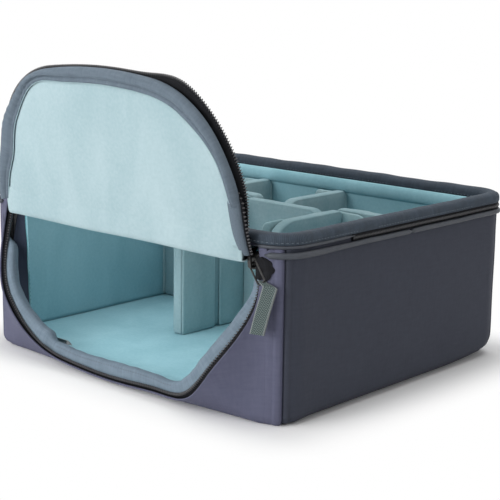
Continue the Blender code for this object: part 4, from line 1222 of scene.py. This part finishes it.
def fold_shape(run, share, lift):
    """A hanging fold from the wall (share 0) to the door (share 1): down to a round bottom
    and up the door's face, along a drawn profile that is smoothed by averaging. Toward
    both ends it sinks with the door's own lining."""
    steps = np.linspace(0, 1, len(fold_way))
    places = [np.clip(share + move, 0, 1) for move in (-0.04, 0, 0.04)]
    y, z = (sum(np.interp(place, steps, part) for place in places) / 3 for part in fold_way.T)
    edge = np.clip(0.1182 - np.abs(run), 0, 0.05)
    drawn = np.sqrt(1 - (1 - np.clip(edge / 0.009, 0, 1)) ** 2)
    sunk = 0.0036 - 0.0020 * drawn - 0.0016 * np.sin(edge / 0.05 * math.pi / 2)
    wave = 0.0003 * np.sin(run * 50) * np.sin(share * math.pi)
    y = y + sunk * ease((share - 0.3) / 0.3) - lift * 0.9 * np.cos(share * math.pi * 0.8 + 0.6)
    return grid_of(run, y, z + wave + lift)


spread = np.linspace(0, 1, 26)
fold_section = np.concatenate((grid_of(spread, 0 * spread), grid_of(spread[::-1], 0.0009 + 0 * spread)))
fold_runs = np.linspace(-0.1150, 0.1216, 120)
hinge_fold = section_sweep("door_lining_fold", fold_runs, fold_section, fold_shape)
settle(hinge_fold, None, "door_lining", door_paint)
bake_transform(hinge_fold)


# Tail: at the slider the door's band, tape and coil run on, bent in from the door's corner
# down to the wall, and join both.
def tail_shape(run, across, out):
    """Down a bent line through three points, from the door's band to the slider; the line
    is a parabola over the run 0 to 1, and the roll grows thinner on its way."""
    ends = np.array(((0.1152, -0.1400, 0.1560), (0.1212, -0.1418, 0.1270), (0.1204, -0.1330, 0.1115)))
    run = np.asarray(run, float)[..., None]
    line = (1 - run) ** 2 * ends[0] + 2 * run * (1 - run) * ends[1] + run ** 2 * ends[2]
    size = (1 - 0.20 * run[..., 0] ** 2) * np.sqrt(np.clip(0.02 + run[..., 0] / 0.20, 0, 1))
    spot = grid_of(across * size, out * size, 0 * run[..., 0])
    return line + spot


tail_runs = np.linspace(0, 1, 40)
band_tail = section_sweep("door_band_tail", tail_runs, oval(0, 0, 0.0050, 0.0036, 16), tail_shape)
settle(band_tail, None, "binding", band_paint)
tape_tail = section_sweep("door_tape_tail", tail_runs, oval(0.0056, 0.0012, 0.0014, 0.0007, 10), tail_shape)
settle(tape_tail, None, "zip_tape", tape_paint)
tail_teeth = scatter("door_tail_coil", *bead_template(0.0012, 0.0009, 0.00050),
                     *around(tail_shape, np.arange(0.02, 0.99, 0.055), 0.0070, 0.0010))
settle(tail_teeth, None, "zip_tape", coil_paint)
for soft in (band_tail, tape_tail, tail_teeth):
    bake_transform(soft)

# Slider and its wire pull: a cast body on both rows of coil, and a bent wire in its bail,
# both plated dark. Their solids have the real shape, so they only get their metal here.
metal, tree, shader = new_paint("gunmetal", {"Metallic": 1.0})
place = wire(tree, "TexCoord")
smudge = wire(tree, "TexNoise",
              {"Vector": place.outputs["Object"], "Scale": 900.0, "Detail": 4.0}).outputs["Fac"]
colour_and_relief(tree, shader, smudge, (0.030, 0.030, 0.031), (0.105, 0.104, 0.102), smudge, 0.15, 0.0001)
rough = wire(tree, "MapRange", {"Value": smudge, "To Min": 0.22, "To Max": 0.45})
tree.links.new(rough.outputs[0], shader.inputs["Roughness"])
for name in ("slider_body", "slider_pull"):
    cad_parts[name].material_slots[0].material = metal

# Ribbon tab: a grey herringbone ribbon with paler selvedges, looped through the wire pull
# and sewn to itself. It hangs with a lean and a slight curl.
RIBBON_TOP = (0.13236, -0.1299, 0.09451)
RIBBON_LENGTH = 0.0330
RIBBON_HALF = 0.0051
NECK_HALF = 0.0028


def ribbon_shape(share_grid, across_grid):
    """Down the ribbon by a share of its length: it narrows to the loop at its top, leans
    toward the mouth, and curls a little away from the wall at its foot."""
    width = NECK_HALF + (RIBBON_HALF - NECK_HALF) * ease(share_grid / 0.09)
    down = RIBBON_LENGTH * share_grid
    x = RIBBON_TOP[0] + 0.94 * across_grid * width + 0.0078 * ease(share_grid / 0.10) - 0.12 * down
    y = RIBBON_TOP[1] + 0.25 * across_grid * width - 0.0010 * np.sin(share_grid * 3.0)
    y = y - 0.0085 * share_grid ** 1.2
    z = RIBBON_TOP[2] + 0.0016 - down
    return grid_of(x, y, z)


shares = np.linspace(0, 1, 60)[:, None]
sides = np.linspace(-1, 1, 17)[None]
face = ribbon_shape(shares, sides)
ribbon_uv = grid_of(sides * RIBBON_HALF, shares * RIBBON_LENGTH)
ribbon = cloth_mesh("woven_tab", face, ribbon_uv)
if ribbon.data.polygons[len(ribbon.data.polygons) // 2].normal.y > 0:
    ribbon.data.flip_normals()
thicken(ribbon, 0.0016)

ribbon_paint, tree, shader = new_paint("ribbon", {"Roughness": 0.9})
cloth = wire(tree, "UVMap", uv_map="cloth")
parts = wire(tree, "SeparateXYZ", {0: cloth.outputs[0]})
fold = maths(tree, "PINGPONG", parts.outputs[0], 0.0022)
slant = maths(tree, "ADD", fold.outputs[0], parts.outputs[1])
tooth = maths(tree, "MULTIPLY", slant.outputs[0], 4200.0)
twill = maths(tree, "SINE", tooth.outputs[0])
twill = wire(tree, "MapRange", {"Value": twill.outputs[0], "From Min": -1.0, "From Max": 1.0})
rim_side = maths(tree, "ABSOLUTE", parts.outputs[0])
selvedge = wire(tree, "MapRange",
                {"Value": rim_side.outputs[0], "From Min": 0.0042, "From Max": 0.0045})
mixed = wire(tree, "Mix",
             {0: twill.outputs[0], 6: (0.014, 0.026, 0.027, 1), 7: (0.120, 0.155, 0.150, 1)},
             data_type="RGBA")
edged = wire(tree, "Mix", {0: selvedge.outputs[0], 6: mixed.outputs[2], 7: (0.17, 0.19, 0.19, 1)},
             data_type="RGBA")
tree.links.new(edged.outputs[2], shader.inputs["Base Color"])
bump = wire(tree, "Bump", {"Height": twill.outputs[0], "Strength": 0.5, "Distance": 0.0003})
tree.links.new(bump.outputs[0], shader.inputs["Normal"])
settle(ribbon, "tab", "ribbon", ribbon_paint, "pull_tab")
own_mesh(ribbon)

# Dividers: seven foam boards in brushed teal covers, each sewn round its edges, with a thin
# wing at either end that holds to the brushed lining or folds back on the board itself.
PAD_FOOT, PAD_TOP, PAD_HALF = 0.0093, 0.1100, 0.0050
pad_paint = nap_paint("divider_cloth", (0.200, 0.330, 0.365), (0.285, 0.415, 0.448), 0.024, 0.40, 0.80)
wing_paint = nap_paint("wing_cloth", (0.265, 0.420, 0.455), (0.350, 0.510, 0.540), 0.020, 0.40, 0.35)


def board_outline(start, end, foot, top, radii, count=12):
    """A closed outline seen from the board's face, with its upper corners rounded by the
    radii at the start and the end, and its lower ones by a small radius."""
    small = 0.002
    corners = ((end - small, foot + small, small, -90), (end - radii[1], top - radii[1], radii[1], 0),
               (start + radii[0], top - radii[0], radii[0], 90), (start + small, foot + small, small, 180))
    parts = []
    for a, b, radius, first in corners:
        angle = np.radians(np.linspace(first, first + 90, count))
        parts.append(grid_of(a + radius * np.cos(angle), b + radius * np.sin(angle)))
    ring = np.concatenate(parts + [parts[0][:1]])
    step = np.concatenate(((0,), np.cumsum(np.linalg.norm(np.diff(ring, axis=0), axis=-1))))
    walk = np.unique(np.concatenate((step, np.linspace(0, step[-1], 90))))[:-1]
    return grid_of(np.interp(walk, step, ring[:, 0]), np.interp(walk, step, ring[:, 1]))


def crowned_board(outline, half):
    """A closed board: rings go in from its edge to the middle of each face. Each face is
    crowned, dips at the seam near its edge, and the edge band bulges round between."""
    middle = (outline.max(axis=0) + outline.min(axis=0)) / 2
    to_middle = middle - outline
    reach = np.linalg.norm(to_middle, axis=-1, keepdims=True)
    inward = to_middle / reach
    depth_in = np.array((0.0, 0.0004, 0.0011, 0.0018, 0.0026, 0.0040, 0.0070, 0.0120))
    level = np.array((0.50, 0.74, 0.90, 0.88, 0.93, 0.985, 1.02, 1.05))
    deeper = np.linspace(0.15, 1, 12)[:, None]
    rings, heights = [], []
    for d, share in zip(depth_in, level):
        rings.append(outline + inward * np.minimum(d, reach * 0.9))
        heights.append(np.full(len(outline), share * half))
    last = rings[-1]
    for share in deeper[:, 0]:
        rings.append(last + (middle - last) * share)
        heights.append(np.full(len(outline), half * (1.05 + 0.05 * share)))
    face = np.stack(rings, axis=1)
    height = np.stack(heights, axis=1)
    flat = np.concatenate((face[:, ::-1], face), axis=1)
    level = np.concatenate((height[:, ::-1], -height), axis=1)
    return flat, level


def stood_up(axis, face, across):
    """Points from a board's face coordinates and the place across it, along X or Y."""
    along, up = face[..., 0], face[..., 1]
    return grid_of(along, across, up) if axis == "x" else grid_of(across, along, up)


def divider_pad(name, axis, centre, start, end, corners):
    """A board whose length runs along X or Y, standing at a centre on the other axis, with
    an upper corner radius for each end."""
    outline = board_outline(start, end, PAD_FOOT, PAD_TOP, corners)
    flat, level = crowned_board(outline, PAD_HALF)
    uneven = 0.0004 * np.sin(flat[..., 0] * 75 + centre * 90) * np.sin(flat[..., 1] * 60)
    across = centre + level + uneven
    uv = np.concatenate((flat, flat[:1]))
    item = cloth_mesh(name + "_pad", stood_up(axis, flat, across), uv, round_rows=True, weld=True)
    return settle(item, name, "divider_cloth", pad_paint, name + "_cover", name + "_core", padded=True)


def divider_wing(name, tag, axis, face, start, end, bow, free_end):
    """A thin flap standing on edge: flat along its length, bowed off its neighbour by a
    half sine, with its free upper corner rounded."""
    radii = (0.014, 0.006) if free_end == "start" else (0.006, 0.014)
    outline = board_outline(start, end, PAD_FOOT, PAD_TOP - 0.001, radii)
    middle = (outline.max(axis=0) + outline.min(axis=0)) / 2
    share = np.concatenate(((0.0,), np.linspace(0.02, 1, 14)))[None, :, None]
    flat = outline[:, None] + (middle - outline)[:, None] * share
    thin = 0.00060 * np.sqrt(1 - (1 - np.clip(share[..., 0] / 0.06, 0, 1)) ** 2) + np.zeros(flat.shape[:2])
    whole = np.concatenate((flat[:, ::-1], flat), axis=1)
    level = np.concatenate((thin[:, ::-1], -thin), axis=1)
    along = np.clip((whole[..., 0] - start) / (end - start), 0, 1)
    top = 0.5 + 0.5 * ease((whole[..., 1] - 0.02) / 0.08)
    across = face + level + bow * np.sin(along * math.pi) * top
    uv = np.concatenate((whole, whole[:1]))
    item = cloth_mesh(f"{name}_hook_{tag}", stood_up(axis, whole, across), uv, round_rows=True, weld=True)
    return settle(item, name, "wing_cloth", wing_paint, f"{name}_wing_{tag}")


def divider(name, axis, centre, start, end, corners, wings):
    """One board and its two wings. A wing is (axis, face, start, end, bow, free end)."""
    divider_pad(name, axis, centre, start, end, corners)
    for tag, wing in zip("ab", wings):
        divider_wing(name, tag, *wing)


divider("bay_back", "x", 0.034, -0.0309, 0.0479, (0.005, 0.012), (
    ("y", -0.03195, 0.003, 0.039, 0.0008, "start"), ("y", 0.04895, 0.003, 0.039, -0.0008, "start")))
divider("bay_right", "y", 0.055, -0.038, 0.0429, (0.026, 0.004), (
    ("y", 0.04895, -0.038, -0.002, -0.0012, "end"), ("x", 0.04395, 0.050, 0.086, -0.0020, "end")))
divider("bay_left", "y", -0.038, -0.038, 0.0429, (0.026, 0.004), (
    ("y", -0.03195, -0.038, -0.002, 0.0012, "end"), ("x", 0.04395, -0.069, -0.033, -0.0020, "start")))
divider("row_right", "x", 0.050, 0.050, 0.1389, (0.004, 0.018), (
    ("x", 0.05605, 0.050, 0.086, 0.0030, "end"), ("y", 0.13995, 0.045, 0.081, -0.0040, "end")))
divider("row_left", "x", 0.050, -0.1389, -0.033, (0.018, 0.004), (
    ("y", -0.13995, 0.045, 0.081, 0.0040, "end"), ("x", 0.05605, -0.069, -0.033, 0.0030, "start")))
divider("rear_right", "y", -0.001, 0.0411, 0.1169, (0.016, 0.003), (
    ("x", 0.04005, -0.032, 0.004, 0.0015, "start"), ("x", 0.11795, -0.032, 0.004, -0.0070, "start")))
divider("rear_left", "y", -0.084, 0.0571, 0.1169, (0.016, 0.003), (
    ("x", 0.05605, -0.115, -0.079, 0.0030, "start"), ("x", 0.11795, -0.115, -0.079, -0.0070, "start")))
